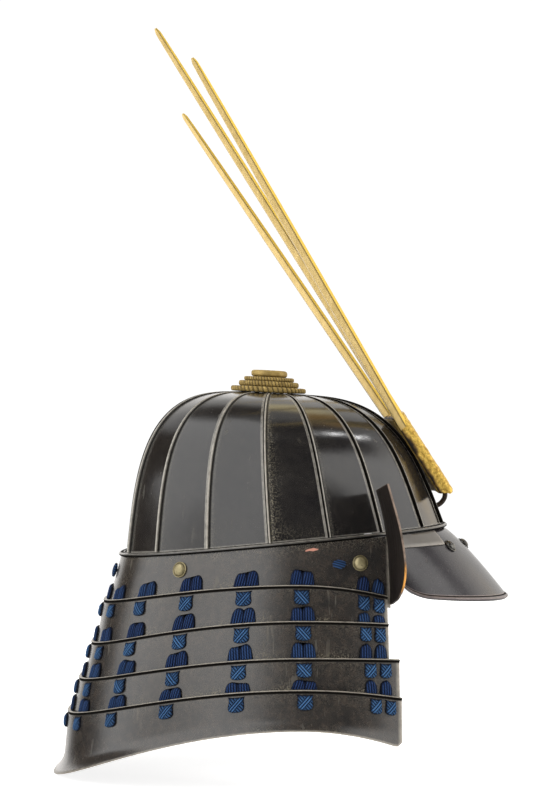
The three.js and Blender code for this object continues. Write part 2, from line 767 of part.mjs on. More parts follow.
function ovalKnot({ width, height }) {
  const bead = new THREE.SphereGeometry(1, 8, 5);
  bead.scale(width / 2, height / 2, 1.7);
  bead.translate(0, 0, 1.7 + 2 * GAP);
  const neck = new THREE.CylinderGeometry(1.1, 1.1, 5.6, 8).rotateX(Math.PI / 2).translate(0, 0, -0.9);
  const stop = new THREE.CylinderGeometry(2.2, 2.2, 1.2, 8).rotateX(Math.PI / 2).translate(0, 0, -LAME_IRON - 1.5);
  return solidOf(bead).add(solidOf(neck)).add(solidOf(stop));
}

// Visor surface: turn in degrees from the front, along from the rim to the outer edge

function visorAt(turn, along) {
  const inner = rimPoint(180 - turn, -0.6, NEAR_GAP);
  const share = turn / VISOR.halfAngle;
  const outerTurn = share * 89 * DEG;
  const outerX = VISOR.centreX + VISOR.reachX * Math.cos(outerTurn);
  const outerY = -VISOR.reachY * Math.sin(outerTurn);
  const outerZ = VISOR.tipZ + VISOR.sideRise * share ** 2;
  return new THREE.Vector3(
    THREE.MathUtils.lerp(inner.x, outerX, along),
    THREE.MathUtils.lerp(inner.y, outerY, along),
    THREE.MathUtils.lerp(inner.z, outerZ, along ** VISOR.droop),
  );
}

function visorNormal(turn, along) {
  const across = visorAt(turn + 0.5, along).sub(visorAt(turn - 0.5, along));
  const down = visorAt(turn, along + 0.01).sub(visorAt(turn, Math.max(along - 0.01, 0)));
  const normal = across.cross(down).normalize();
  return normal.z < 0 ? normal.negate() : normal;
}

function visorPoint(turn, along, offset) {
  return visorAt(turn, along).addScaledVector(visorNormal(turn, along), offset);
}

function visorEdge(turn) {
  const share = Math.abs(turn) / VISOR.halfAngle;
  const past = Math.max(share - VISOR.cornerStart, 0) / (1 - VISOR.cornerStart);
  return 1 - (1 - VISOR.cornerEnd) * (1 - Math.sqrt(Math.max(1 - past ** 2, 0)));
}

function visorPlate() {
  const loops = [];
  const rows = [0, 0.3, 0.65, 0.955, 0.965, 1];
  for (let i = 0; i <= VISOR.segments; i++) {
    const share = (i / VISOR.segments) * 2 - 1;
    const turn = VISOR.halfAngle * Math.sign(share) * Math.abs(share) ** 0.85;
    const edge = visorEdge(turn);
    const outer = rows.map((row) => visorPoint(turn, row * edge, row > 0.96 ? VISOR.lip : 0));
    const inner = rows.map((row) => visorPoint(turn, row * edge, -IRON));
    loops.push([...outer, ...inner.reverse()]);
  }
  return solidOf(loft(loops));
}

// Thin strip over the visor's upper side edge: hand is 1 on the wearer's right
function visorStrip(hand) {
  const loops = [];
  for (let i = 0; i <= VISOR_STRIP.segments; i++) {
    const share = THREE.MathUtils.lerp(VISOR_STRIP.from, VISOR_STRIP.to, i / VISOR_STRIP.segments);
    const turn = hand * VISOR.halfAngle * share;
    const length = visorAt(turn, 1).distanceTo(visorAt(turn, 0));
    const end = VISOR_STRIP.height / length;
    const outer = [0.04, end / 2, end].map((along) => visorPoint(turn, along, GAP + VISOR_STRIP.thickness));
    const inner = [0.04, end / 2, end].map((along) => visorPoint(turn, along, GAP));
    loops.push([...outer, ...inner.reverse()]);
  }
  return solidOf(loft(loops));
}

// Crest

const crestUp = new THREE.Vector3(-Math.sin(CREST.lean * DEG), 0, Math.cos(CREST.lean * DEG));
const crestRear = new THREE.Vector3(-Math.cos(CREST.lean * DEG), 0, -Math.sin(CREST.lean * DEG));
const crestFoot = new THREE.Vector3(CREST.footX, 0, CREST.footZ);

// Point by height above the base's foot, distance to the wearer's left, and distance behind the centre prong's axis
function crestPoint(height, left, rear) {
  return crestFoot.clone().addScaledVector(crestUp, height).addScaledVector(crestRear, rear).setY(left);
}

// Outer face of the bowl with a margin, as a plain dome
function bowlEnvelope(margin) {
  const loops = [];
  for (const rise of [0.02, 0.08, 0.16, 0.25, 0.34, 0.43, 0.52, 0.61, 0.7, 0.8, 0.9]) {
    const loop = [];
    for (let i = 0; i < 48; i++) {
      loop.push(bowlPoint(i * 7.5, rise, margin));
    }
    loops.push(loop);
  }
  return solidOf(loft(loops));
}

function crestBase() {
  const { baseHeight, baseHalfWidth, baseTopFront, baseFootFront, baseFootDrop } = CREST;
  const { baseRear, frontRadius, rearRadius } = CREST;
  const steps = 8;
  const loops = [];
  for (let i = 0; i <= steps; i++) {
    const left = THREE.MathUtils.lerp(-baseHalfWidth, baseHalfWidth, i / steps);
    const atEnd = i === 0 || i === steps;
    const trim = atEnd ? 1.5 : 0;
    const front = left ** 2 / (2 * frontRadius) + trim;
    const rear = baseRear + left ** 2 / (2 * rearRadius) - trim;
    loops.push([
      crestPoint(-baseFootDrop, left, baseFootFront + front),
      crestPoint(baseHeight, left, baseTopFront + front),
      crestPoint(baseHeight, left, rear),
      crestPoint(0, left, rear),
    ]);
  }
  return solidOf(loft(loops));
}

// One prong: side is -1, 0 or 1 towards the wearer's left; grown widens it for its socket
function prong(side, grown = 0) {
  const angle = side * CREST.sideAngle * DEG;
  const total = side === 0 ? CREST.centreLength : CREST.sideLength;
  const setBack = side === 0 ? 0 : CREST.sideSetBack;
  const start = (CREST.rootBelowFoot + CREST.baseHeight - CREST.socketDepth - grown) / Math.cos(angle);
  const along = [0, 0.25, 0.5, 0.75, 0.92, 0.985, 1];
  const loops = along.map((share) => {
    const length = THREE.MathUtils.lerp(start, total, share);
    const taper = share < 0.95 ? 1 - share ** 2 : 0.12 * (1 - share) / 0.05;
    const depth = share < 1 ? THREE.MathUtils.lerp(CREST.tipDepth, CREST.depth, Math.sqrt(1 - share ** 2)) : 0.8;
    const half = CREST.tipHalfWidth * (share < 1 ? 1 : 0.4) + (CREST.halfWidth - CREST.tipHalfWidth) * taper + grown;
    const front = -depth / 2 - grown;
    const rear = depth / 2 + grown;
    const section = [
      [-half, rear],
      [-half, front + depth * 0.3],
      [-half * 0.42, front],
      [half * 0.42, front],
      [half, front + depth * 0.3],
      [half, rear],
    ];
    return section.map(([across, behind]) => {
      const height = length * Math.cos(angle) - across * Math.sin(angle) - CREST.rootBelowFoot;
      return crestPoint(height, length * Math.sin(angle) + across * Math.cos(angle), behind + setBack);
    });
  });
  return solidOf(loft(loops));
}

function crestHook(grown = 0) {
  const foot = [
    [118.2, -82.6],
    [121.1, -81],
    [124.8, -78.8],
    [127.4, -75.3],
    [127.9, -71.6],
  ].map(([x, z]) => new THREE.Vector3(x, 0, z));
  const curve = new THREE.CatmullRomCurve3([...foot, crestPoint(1, 0, 0), crestPoint(HOOK.insideBase + grown, 0, 0)]);
  const section = new THREE.Shape();
  const radius = HOOK.radius + grown;
  for (let i = 0; i < 8; i++) {
    const angle = (i + 0.5) * 45 * DEG;
    const x = radius * Math.cos(angle);
    const y = radius * Math.sin(angle);
    if (i === 0) {
      section.moveTo(x, y);
    } else {
      section.lineTo(x, y);
    }
  }
  section.closePath();
  return solidOf(new THREE.ExtrudeGeometry(section, { steps: 9, extrudePath: curve, curveSegments: 1 }));
}

// Bowl

const hookClearance = crestHook(GAP);
bowlPlates().forEach((plate, i) => {
  const drilled = i === 0 ? plate.subtract(hookClearance) : plate;
  addMesh(`bowl_plate_${String(i + 1).padStart(2, "0")}`, drilled, LACQUER);
});
addMesh("rim_band", rimBand(), LACQUER);

// Finial

let tierFloor = CROWN_Z + RIB.crownHeight + GAP;
FINIAL_TIERS.forEach((tier, i) => {
  const shape = i === 0 ? finialBase(tier, tierFloor) : finialRing(tier, tierFloor);
  addMesh(tier.name, shape, AGED_BRASS);
  tierFloor += tier.height + GAP;
});

// Neck guard with its rivets and knots

const rivetHoles = [];
for (const { name, angle, depth } of LAME_RIVETS) {
  const point = lameDepth(0, angle, depth, 0);
  const out = lameNormal(0, angle, depth);
  const wallGap = point.clone().sub(rimPoint(angle, WAIST_BAND.outer, depth)).dot(out);
  const length = wallGap + WAIST_BAND.thickness + 0.8;
  addMesh(name, placeAlong(domedRivet(RIVET, length), point, out), AGED_BRASS);
  rivetHoles.push(placeAlong(shankHole(RIVET.shankRadius, 2 * length + 4), point, out));
}
addMesh("waist_band", rivetHoles.reduce((band, hole) => band.subtract(hole), waistBand()), LACQUER);

const knotHoles = [];
for (const knot of LAME_KNOTS) {
  const point = lameDepth(0, knot.angle, knot.depth, 0);
  const out = lameNormal(0, knot.angle, knot.depth);
  addMesh(knot.name, placeAlong(ovalKnot(knot), point, out), INDIGO);
  knotHoles.push(placeAlong(shankHole(1.1, 6), point, out));
}

LAMES.forEach((lame, k) => {
  let plate = lameBand(k);
  if (k === 0) {
    plate = plate.add(flap(-1)).add(flap(1));
    plate = [...rivetHoles, ...knotHoles].reduce((solid, hole) => solid.subtract(hole), plate);
  }
  plate = laceSlots(k).reduce((solid, slot) => solid.subtract(slot), plate);
  addMesh(lame.name, plate, LACQUER);
});

const columnCount = LACE_ANGLES.length + 2;
for (let column = 0; column < columnCount; column++) {
  const angles = LAMES.map((lame, k) => laceAnglesOn(k)[column]);
  const widths = laceWidths(column);
  if (column === 0) {
    addMesh("lacing_back", laceColumn(angles, widths), INDIGO);
  } else {
    addMesh(`lacing_right_${column}`, laceColumn(angles, widths), INDIGO);
    addMesh(`lacing_left_${column}`, laceColumn(angles.map((angle) => -angle), widths), INDIGO);
  }
}

// Visor

let visor = visorPlate();
for (const { name, turn, along } of VISOR_RIVETS) {
  const point = visorPoint(turn, along, 0);
  const out = visorNormal(turn, along);
  addMesh(name, placeAlong(domedRivet(VISOR_RIVET, IRON + 0.8), point, out), BARE_IRON);
  visor = visor.subtract(placeAlong(shankHole(VISOR_RIVET.shankRadius, 8), point, out));
}
addMesh("visor", visor, LACQUER);
addMesh("visor_strip_right", visorStrip(1), LACQUER);
addMesh("visor_strip_left", visorStrip(-1), LACQUER);

// Crest

addMesh("crest_hook", crestHook(), BARE_IRON);
let base = crestBase().subtract(bowlEnvelope(CREST.bowlClearance)).subtract(hookClearance);
for (const [name, side] of [["crest_prong_centre", 0], ["crest_prong_left", 1], ["crest_prong_right", -1]]) {
  addMesh(name, prong(side), GILT);
  base = base.subtract(prong(side, GAP));
}
addMesh("crest_base", base, GILT);

export default helmet;
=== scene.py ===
"""Looks of the samurai helmet: lacquered iron plates, indigo lacing, aged brass finial and gilt crest.

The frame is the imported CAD. Sizes here are millimetres, as in the CAD, and turn into metres where a mesh
is made. +X is the helmet's front, +Y the wearer's left, +Z up. Positive angles turn from the back to the
wearer's right.
"""

import math
import random
from collections import namedtuple

import bpy
import numpy as np
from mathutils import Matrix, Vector, noise


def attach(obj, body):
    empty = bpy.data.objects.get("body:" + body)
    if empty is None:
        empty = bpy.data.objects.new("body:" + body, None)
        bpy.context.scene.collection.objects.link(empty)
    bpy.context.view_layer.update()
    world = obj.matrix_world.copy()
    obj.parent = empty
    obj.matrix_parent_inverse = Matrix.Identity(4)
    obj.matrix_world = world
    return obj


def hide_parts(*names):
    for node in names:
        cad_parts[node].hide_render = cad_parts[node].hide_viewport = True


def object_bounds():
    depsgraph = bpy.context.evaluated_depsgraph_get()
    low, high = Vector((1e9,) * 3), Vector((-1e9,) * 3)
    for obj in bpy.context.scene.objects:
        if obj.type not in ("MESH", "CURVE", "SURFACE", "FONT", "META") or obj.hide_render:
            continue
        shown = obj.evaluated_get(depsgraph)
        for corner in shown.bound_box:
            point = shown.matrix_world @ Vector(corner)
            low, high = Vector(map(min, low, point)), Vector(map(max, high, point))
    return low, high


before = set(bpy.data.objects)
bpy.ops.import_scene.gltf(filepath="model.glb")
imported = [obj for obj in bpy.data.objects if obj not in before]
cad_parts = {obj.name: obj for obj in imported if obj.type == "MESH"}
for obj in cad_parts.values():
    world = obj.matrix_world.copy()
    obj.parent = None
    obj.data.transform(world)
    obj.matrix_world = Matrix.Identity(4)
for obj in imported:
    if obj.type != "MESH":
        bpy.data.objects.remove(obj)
cad_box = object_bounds()

MM = 0.001
BODY = "root"


def table(columns, *rows):
    """Rows with named columns."""
    kind = namedtuple("Row", columns)
    return [kind(*row) for row in rows]


# General sizes
IRON = 1.8
LAME_IRON = 1.5
GAP = 0.3
NEAR_GAP = 0.4

# Bowl
Curve = namedtuple("Curve", "reach power lean")
BOWL_BACK = Curve(105, 3.5, 0.13)
BOWL_FRONT = Curve(126, 4.0, 0.275)
BOWL_SIDE = Curve(101.5, 3.0, 0)
RIM_HALF = (BOWL_FRONT.reach + BOWL_BACK.reach) / 2
RIM_CENTRE = (BOWL_FRONT.reach - BOWL_BACK.reach) / 2
RIM_LEVEL, RIM_SLOPE, RIM_ARCH = -106, 0.09, 2.6
CROWN_Z, CROWN_TILT, CROWN_HOLE_RADIUS = 0.85, 0.054, 17
PLATE_FOOT, PLATE_FLATNESS = 2.8, 0.7
PLATE_ROWS, PLATE_COLUMNS = 60, 16
FOOT_SHARES = [0, 0.0015, 0.003, 0.006]
RIB_ANGLES = [17, 37.5, 60, 82, 102.5, 122.5, 144, 165.5]
RIB_HEIGHT, RIB_CROWN_HEIGHT = 2.4, 0.3
RIB_FADE_FROM, RIB_FADE_TO = 100, 27
FAR_FROM_RIB = 30.0
HAMMER_DEPTH = 0.16
DUSTY_PLATES, DUSTY, CLEAN = (5, 13), 1.0, 0.25
# Section of a rib from the joint onto the plate: the height is a share of the rib's. The pale crest is partly
# wear and partly a painted highlight; the last column darkens the joint and paints the shadow beside the rib
RIB_SECTION = table(
    "distance height wear crevice",
    (0.15, 0.0, 0.0, 1.0),
    (0.15, 0.75, 0.0, 1.0),
    (0.3, 0.92, 0.3, 0.5),
    (0.55, 1.0, 1.0, 0.0),
    (1.2, 0.93, 1.0, 0.0),
    (1.5, 0.7, 0.5, 0.1),
    (1.65, 0.3, 0.0, 0.7),
    (1.85, 0.05, 0.0, 0.7),
    (2.5, 0.0, 0.0, 0.5),
    (3.1, 0.0, 0.1, 0.0),
)
# Plain edge of a plate against its neighbour's rib: a dark joint, then a pale line that is partly wear and
# partly a painted highlight
PLAIN_EDGE = table(
    "distance height wear crevice",
    (0.15, 0.0, 0.0, 1.0),
    (0.4, 0.0, 0.0, 0.9),
    (0.6, 0.0, 0.9, 0.0),
    (1.2, 0.0, 0.45, 0.0),
    (1.9, 0.0, 0.65, 0.0),
    (2.3, 0.0, 0.0, 0.0),
)
# Half-round moulding under the plates' feet: a dark joint under the feet, a pale top that is partly wear and
# partly a painted highlight, and painted shadow on the underside
RIM_SECTION = table(
    "offset height wear crevice",
    (-IRON, 0.0, 0, 0),
    (-IRON, 2.5, 0, 0),
    (0.0, 2.5, 0, 1),
    (0.7, 2.45, 0, 1),
    (1.1, 2.4, 0.6, 0.2),
    (1.5, 2.35, 0.8, 0),
    (1.9, 2.1, 0.35, 0),
    (2.25, 1.75, 0.2, 0),
    (2.4, 1.3, 0.15, 0.1),
    (2.35, 0.9, 0, 0.9),
    (2.1, 0.4, 0, 1),
    (1.7, 0.1, 0, 1),
    (1.0, 0.0, 0, 1),
    (0.0, 0.0, 0, 1),
)

# Finial tiers, from the bowl upwards
FINIAL_HOLE_RADIUS = 8
FINIAL_TIERS = table(
    "node radius height rounding beads bead_depth",
    ("finial_base", 27, 3.6, 1.4, 46, 1.1),
    ("finial_ring_lower", 21.6, 3.7, 1.4, 54, 0.8),
    ("finial_ring_upper", 18, 2.7, 1.1, 52, 0.6),
    ("finial_collar", 13, 4.6, 2.0, 0, 0.0),
)

# Visor
VISOR_HALF_ANGLE, VISOR_OUTER_ANGLE = 51, 89
VISOR_CENTRE_X, VISOR_REACH_X, VISOR_REACH_Y = 85, 87.3, 92
VISOR_TIP_Z, VISOR_SIDE_RISE, VISOR_DROOP = -145.2, 7, 1.2
VISOR_CORNER_START, VISOR_CORNER_END = 0.84, 0.78
VISOR_LIP = 0.9
# Edge of the visor: a rubbed line, a groove darkened with painted shade, and the raised lip
VISOR_EDGE = table(
    "along lift wear crevice",
    (0.940, 0.0, 0.0, 0.0),
    (0.945, 0.0, 0.55, 0.0),
    (0.951, 0.0, 0.55, 0.0),
    (0.954, 0.0, 0.0, 0.9),
    (0.964, 0.1, 0.0, 1.0),
    (0.969, 0.5, 0.2, 0.3),
    (0.977, 0.85, 0.45, 0.0),
    (0.986, 1.0, 0.5, 0.0),
    (0.995, 0.75, 0.4, 0.0),
    (1.0, 0.2, 0.1, 0.2),
)
VISOR_RIVETS = table(
    "node turn along",
    ("visor_rivet_right", 25.0, 0.3),
    ("visor_rivet_front", 0.0, 0.33),
    ("visor_rivet_left", -25.0, 0.3),
)
STRIP_FROM, STRIP_TO, STRIP_START, STRIP_STEPS = 0.56, 0.97, 0.04, 40
STRIP_THICKNESS, STRIP_FRONT_HEIGHT, STRIP_BACK_HEIGHT = 1.2, 16.5, 12.5
STRIP_SECTION = table(
    "part rise wear",
    (0.0, 0.75, 0.0),
    (0.03, 1.0, 0.1),
    (0.25, 1.0, 0.0),
    (0.5, 1.0, 0.0),
    (0.75, 1.0, 0.0),
    (0.95, 0.95, 0.5),
    (1.0, 0.6, 0.7),
)

# Neck guard
GUARD_CENTRE_X, GUARD_FRONT_REACH, GUARD_BACK, GUARD_SIDE = 11, 150, 116.8, 102.3
GUARD_GAP, GUARD_HIDDEN = 2.0, 8
*LAMES, HEM = table(
    "back side front front_x lace_x spread_back spread_side",
    (0, 0, 0, 77.5, 68.5, 9.9, 6.4),
    (-146.2, -128.7, -137.2, 75, 68.5, 6.8, 5.3),
    (-176.1, -152.2, -155.2, 75, 69, 6.6, 5.4),
    (-201.3, -176.2, -179, 82, 72, 5.3, 4.1),
    (-225.1, -196.5, -204.1, 83, 75, 4.0, 2.4),
    (-269.7, -223.5, -238, 83, 75, 0, 0),
)
LAST = len(LAMES) - 1
HEM_FLARE_BACK, HEM_FLARE_SIDE, HEM_FLARE_FROM, HEM_CORNER = 7, 2.5, 0.68, 4
LAME_COLUMNS, LAME_ROWS = 220, 16
LAME_DENT = 0.25
# Rolled top edge of a lame: pale on top, partly wear and partly a painted highlight, with painted shadow
# under the roll
LAME_EDGE = table(
    "depth offset wear crevice",
    (0.0, -0.7, 0.8, 0.0),
    (0.0, 0.0, 0.9, 0.0),
    (0.15, 0.45, 0.9, 0.0),
    (0.4, 0.7, 0.7, 0.0),
    (0.65, 0.72, 0.0, 0.9),
    (1.1, 0.55, 0.0, 1.0),
    (1.6, 0.1, 0.0, 1.0),
    (2.2, 0.0, 0.0, 0.9),
    (2.7, 0.0, 0.0, 0.0),
)
# Plain top edge of the first lame, which lies under the rim
PLAIN_TOP = table("depth offset wear crevice", *[(depth, 0, 0, 0) for depth in (0, 0.8, 1.6, 2.4, 3.2, 4, 5)])
# Places where the lacquer of a lame has chipped off, with half sizes
CHIPS = table(
    "lame angle depth half_width half_height",
    (0, 94.8, 3.9, 3.8, 0.95),
    (LAST, 121.5, 34, 2.2, 7),
)

# Turned-back flaps, from the top down: heights and places of the root and the tip
FLAP_ROWS = table(
    "root_z tip_z width root_x tip_x",
    (-66, -60, 40, 68.2, 71.4),
    (-77, -74, 44, 71.2, 75.0),
    (-91, -90, 46, 74.2, 79.0),
    (-104, -104, 46.5, 75.8, 81.4),
    (-118, -118, 45, 76.4, 82.2),
    (-129, -129, 38, 76.7, 81.4),
    (-137, -137, 26, 76.8, 79.6),
    (-143.5, -142, 8, 76.9, 77.8),
)
FLAP_BEND, FLAP_STEPS, FLAP_COLUMNS = 1.2, 90, 24

# Lacing
LACE_ANGLES = [0.0, 19.0, 37.4, 56.3, 75.0, 92.0]
LACE_PAIR_SPACING = 10.4
PAIR_HALF, KNOT_HALF = 8.9, 5.5
END_PAIR_HALF, END_KNOT_HALF = 4.8, 4.3
PAD_THICKNESS, PAD_INNER_COLUMNS = 2.6, 5
PAIR_POINTS, KNOT_POINTS = 3.4, 4
STRAND_THICKNESS = 1.0
KNOT_TOP, KNOT_BOTTOM = 3.4, 13.0
PAIR_HEIGHT, SLOT_HEIGHT = 10.2, 2.6
HUMP_CENTRE, VALLEY_DROP, SHOULDER_DROP = 0.5, 0.26, 0.6
CORD_WIDTH, TWIST_PITCH, KNOT_PITCH = 1.75, 1.9, 2.3

# Rivets and knots on the top lame
LAME_RIVET_RADIUS, VISOR_RIVET_RADIUS = 5.4, 4.9
LAME_RIVETS = table(
    "node angle depth",
    ("lame_rivet_right_back", 50.5, 9.8),
    ("lame_rivet_right_front", 107.6, 16),
    ("lame_rivet_left_back", -50.5, 9.8),
    ("lame_rivet_left_front", -107.6, 16),
)
LAME_KNOTS = table(
    "node angle depth width height",
    ("side_knot_right", 101.8, 15.4, 9.6, 6.2),
    ("side_knot_left", -101.8, 15.4, 9.6, 6.2),
    ("back_knot", 0, 10.6, 8.6, 10.5),
)
KNOT_NECK = [(0.05, -2.1), (2.2, -2.1), (2.2, -0.9), (1.1, -0.9)]

# Crest
CREST_FOOT_X, CREST_FOOT_Z = 126.8, -67.4
CREST_LEAN = math.radians(32.25)
CREST_UP = np.array([-math.sin(CREST_LEAN), 0, math.cos(CREST_LEAN)])
CREST_REAR = np.array([-math.cos(CREST_LEAN), 0, -math.sin(CREST_LEAN)])
BASE_HEIGHT, BASE_HALF_WIDTH, BASE_CORNER, BASE_END_TRIM = 64, 31, 1.6, 2.2
BASE_TOP_FRONT, BASE_FOOT_FRONT, BASE_FOOT_DROP, BASE_REAR = -3.4, -4.1, 3.4, 7
BASE_FRONT_RADIUS, BASE_REAR_RADIUS = 220, 400
ROOT_BELOW_FOOT, SOCKET_DEPTH = 9.4, 14
SIDE_ANGLE, SIDE_SET_BACK = math.radians(22.7), 3.6
CENTRE_LENGTH, SIDE_LENGTH = 399.4, 380.5
PRONG_DEPTH, PRONG_TIP_DEPTH, PRONG_HALF, PRONG_TIP_HALF = 6.7, 3.2, 4.2, 1.1
# Half of a prong's section, from the rear corner to the middle of the front, as shares of its half width
# and depth; the groove is painted dark as shade, and the front is the bevel painted as a brighter reflection
PRONG_SIDE = table(
    "across depth groove front",
    (0.9, 1.0, 0, 0),
    (1.0, 0.86, 0, 0),
    (1.0, 0.5, 0, 0),
    (1.0, 0.36, 1, 0),
    (0.93, 0.33, 1, 0.2),
    (0.97, 0.3, 0.2, 0.7),
    (0.72, 0.14, 0, 1),
    (0.42, 0.0, 0, 1),
)
HOOK_RADIUS = 1.8
HOOK_FOOT = [(118.2, -82.6), (121.1, -81), (124.8, -78.8), (127.4, -75.3), (127.9, -71.6)]

# Camera, as worked out from the photograph
CAMERA_AIM = (-1.37, 0.0, -4.32)
CAMERA_EYE = (-96.35, -1647.26, -4.32)
CAMERA_LENS, CAMERA_SENSOR = 103.13, 36
CAMERA_NEAR, CAMERA_FAR = 0.05, 50

# Studio: lit and dark patches seen in the reflections, each over those before it, by degrees from the
# camera's side towards the helmet's front, by degrees above the horizon, and by the degrees from the centre
# to the middle of the edge
STUDIO_GREY, TENT_WHITE = (0.5, 0.5, 0.5), (1.05, 1.05, 1.05)
STUDIO_PATCHES = table(
    "around above reach soft colour",
    (175, 12, 38, 8, (0.9, 0.88, 0.85)),
    (118, 8, 22, 7, (1.35, 1.28, 1.18)),
    (-68, 25, 54.7, 1.5, (1.6, 1.6, 1.6)),
    (-62, -18, 22, 8, (0.8, 0.8, 0.8)),
    (72, 22, 33, 8, (1.5, 1.48, 1.45)),
    (-137, 10, 14.5, 1.2, (0.05, 0.035, 0.025)),
    (-127, -14, 23, 3, (0.05, 0.035, 0.025)),
    (-120, 24, 13, 1.2, (0.05, 0.035, 0.025)),
    (-148, 60, 15, 5, (0.05, 0.04, 0.035)),
    (-174, 10, 18, 7, (1.7, 1.65, 1.6)),
    (22, 1, 27.5, 5, (0.03, 0.03, 0.035)),
    (14, 40, 22, 4, (0.03, 0.03, 0.035)),
    (60, 65, 22, 4, (0.03, 0.03, 0.035)),
    (101, 42, 9.5, 3, (0.06, 0.055, 0.06)),
    (135, 14, 5, 2, (1.7, 1.4, 1.0)),
    (132, 58, 12, 3, (0.95, 0.58, 0.18)),
    (163, 54, 8, 3, (2.1, 1.8, 1.05)),
)
# Lamps, in metres and watts: only the windows show in the reflections
LAMPS = table(
    "name place aim width height power mirrored colour",
    ("key", (-1.1, -1.5, 1.1), (0, 0, -0.05), 0.9, 0.9, 13, False, (1, 1, 1)),
    ("fill", (1.4, -1.2, 0.9), (0, 0, -0.1), 0.8, 0.8, 6, False, (1, 1, 1)),
    ("window_left", (0.875, -0.11, 1.335), (0.045, -0.08, -0.025), 0.03, 0.05, 0.45, True, (1, 1, 1)),
    ("window_right", (1.17, 0.43, 1.03), (0.07, -0.07, -0.03), 0.03, 0.05, 0.3, True, (1, 1, 1)),
    ("crest_light", (1.5, -1.0, 1.4), (-0.05, 0, 0.25), 0.6, 0.6, 10, False, (1.0, 0.97, 0.9)),
)
FLOOR_RADIUS, FLOOR_SIDES, FLOOR_DROP, FLOOR_GLOW = 1.5, 64, 0.001, 0.8

# Smallest angle between faces that shades as a sharp edge, in degrees
SHARP, BEAD_SHARP, BRAID_SHARP = 50, 70, 75

dice = random.Random(16)


# Meshes

class Part:
    """Points in millimetres, faces, and one value a point for each named layer."""

    def __init__(self, points, faces, layers):
        self.points = points
        self.faces = faces
        self.layers = layers


def join(parts):
    points, faces, layers = [], [], {}
    names = sorted({name for part in parts for name in part.layers})
    start = 0
    for part in parts:
        points.append(part.points)
        faces.extend([tuple(i + start for i in face) for face in part.faces])
        for name in names:
            layers.setdefault(name, []).append(part.layers.get(name, np.zeros(len(part.points))))
        start += len(part.points)
    return Part(np.concatenate(points), faces, {name: np.concatenate(layers[name]) for name in names})


def loft(loops, wrap=False, cap="strip", layers=None):
    """Closed solid through loops of equal length. A strip cap joins the two halves of an end loop, which run
    side by side, and a fan cap is one flat face."""
    count, size = loops.shape[:2]
    points = loops.reshape(-1, 3)
    first = np.arange(count if wrap else count - 1)[:, None] * size
    second = (first + size) % (count * size)
    across = np.arange(size)
    after = (across + 1) % size
    quads = np.stack([first + across, second + across, second + after, first + after], -1).reshape(-1, 4)
    corners = points[quads]
    inside = np.cross(corners[:, 1], corners[:, 2]) + np.cross(corners[:, 2], corners[:, 3])
    volume = (corners[:, 0] * inside).sum()
    faces = [tuple(face) for face in quads.tolist()]
    if not wrap:
        last = (count - 1) * size
        ends = [(j, j + 1, size - 2 - j, size - 1 - j) for j in range(size // 2 - 1)]
        if cap == "fan":
            ends = [tuple(range(size))]
        ends += [tuple(last + i for i in reversed(face)) for face in ends]
        faces += ends
        for a, b, *rest in ends:
            for c, d in zip([b, *rest], rest):
                volume += float(np.dot(points[a], np.cross(points[c], points[d])))
    if volume < 0:
        faces = [face[::-1] for face in faces]
    flat = {}
    for name, values in (layers or {}).items():
        flat[name] = np.broadcast_to(values, loops.shape[:2]).reshape(-1)
    return Part(points, faces, flat)


def shell(outer, inner, layers, inner_columns=None):
    """Closed plate between an outer and an inner grid of points, with layers given on the outer grid. A pad's
    inner side lies hidden against a lame, so it keeps only some of its columns."""
    columns = outer.shape[1]
    kept = np.linspace(columns - 1, 0, inner_columns or columns).round(6).astype(int)
    both = {}
    for name, values in layers.items():
        full = np.broadcast_to(values, outer.shape[:2])
        both[name] = np.concatenate([full, full[:, kept] * 0], 1)
    cap = "fan" if inner_columns else "strip"
    return loft(np.concatenate([outer, inner[:, kept]], 1), cap=cap, layers=both)


def make_piece(node, part, finish, sharp=SHARP, name=None):
    """Piece that stands for a CAD node and rides on the body."""
    name = name or f"shown_{node}"
    mesh = bpy.data.meshes.new(name)
    mesh.from_pydata((part.points * MM).tolist(), [], part.faces)
    for layer, values in part.layers.items():
        attribute = mesh.attributes.new(layer, "FLOAT", "POINT")
        attribute.data.foreach_set("value", values.astype(np.float32))
    mesh.materials.append(finish.material)
    mesh.shade_smooth()
    mesh.set_sharp_from_angle(angle=math.radians(sharp))
    piece = bpy.data.objects.new(name, mesh)
    bpy.context.scene.collection.objects.link(piece)
    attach(piece, BODY)
    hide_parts(node)


def unit(vectors):
    return vectors / np.linalg.norm(vectors, axis=-1, keepdims=True)


def lerp(a, b, share):
    return a + (b - a) * share


def cos_sin(angle):
    return np.cos(np.radians(angle)), np.sin(np.radians(angle))


def column_of(rows, name):
    """One column of a table, as a row of numbers."""
    return np.array([getattr(row, name) for row in rows], float)[None, :]


def ribbed(distance, pitch):
    """From 0 in a groove to 1 on a ridge, for ridges a pitch apart."""
    return np.abs(np.sin(np.pi * distance / pitch))


def noise_at(points, scale, seed=0.0):
    """Smooth noise from -1 to 1 at points in millimetres, with features about as long as the scale."""
    flat = points.reshape(-1, 3) / scale + seed
    values = [noise.noise(Vector(point)) for point in flat.tolist()]
    return np.array(values).reshape(points.shape[:-1])


def spline_rows(values, steps):
    """Values of an evenly spaced table, smoothly in between."""
    values = np.array(values, float)
    padded = np.concatenate([[2 * values[0] - values[1]], values, [2 * values[-1] - values[-2]]])
    where = np.linspace(0, len(values) - 1, steps)
    i = np.minimum(where.astype(int), len(values) - 2)
    t = where - i
    p0, p1, p2, p3 = padded[i], padded[i + 1], padded[i + 2], padded[i + 3]
    bend = (2 * p0 - 5 * p1 + 4 * p2 - p3) * t**2 + (3 * p1 - p0 - 3 * p2 + p3) * t**3
    return 0.5 * (2 * p1 + (p2 - p0) * t + bend)


# Bowl

def profile(curve, level):
    return curve.reach * np.maximum(1 - level**curve.power, 0) ** (1 / curve.power) * (1 - curve.lean * level)


def rim_z(x, angle):
    return RIM_LEVEL + RIM_SLOPE * x + RIM_ARCH * cos_sin(angle)[1] ** 2


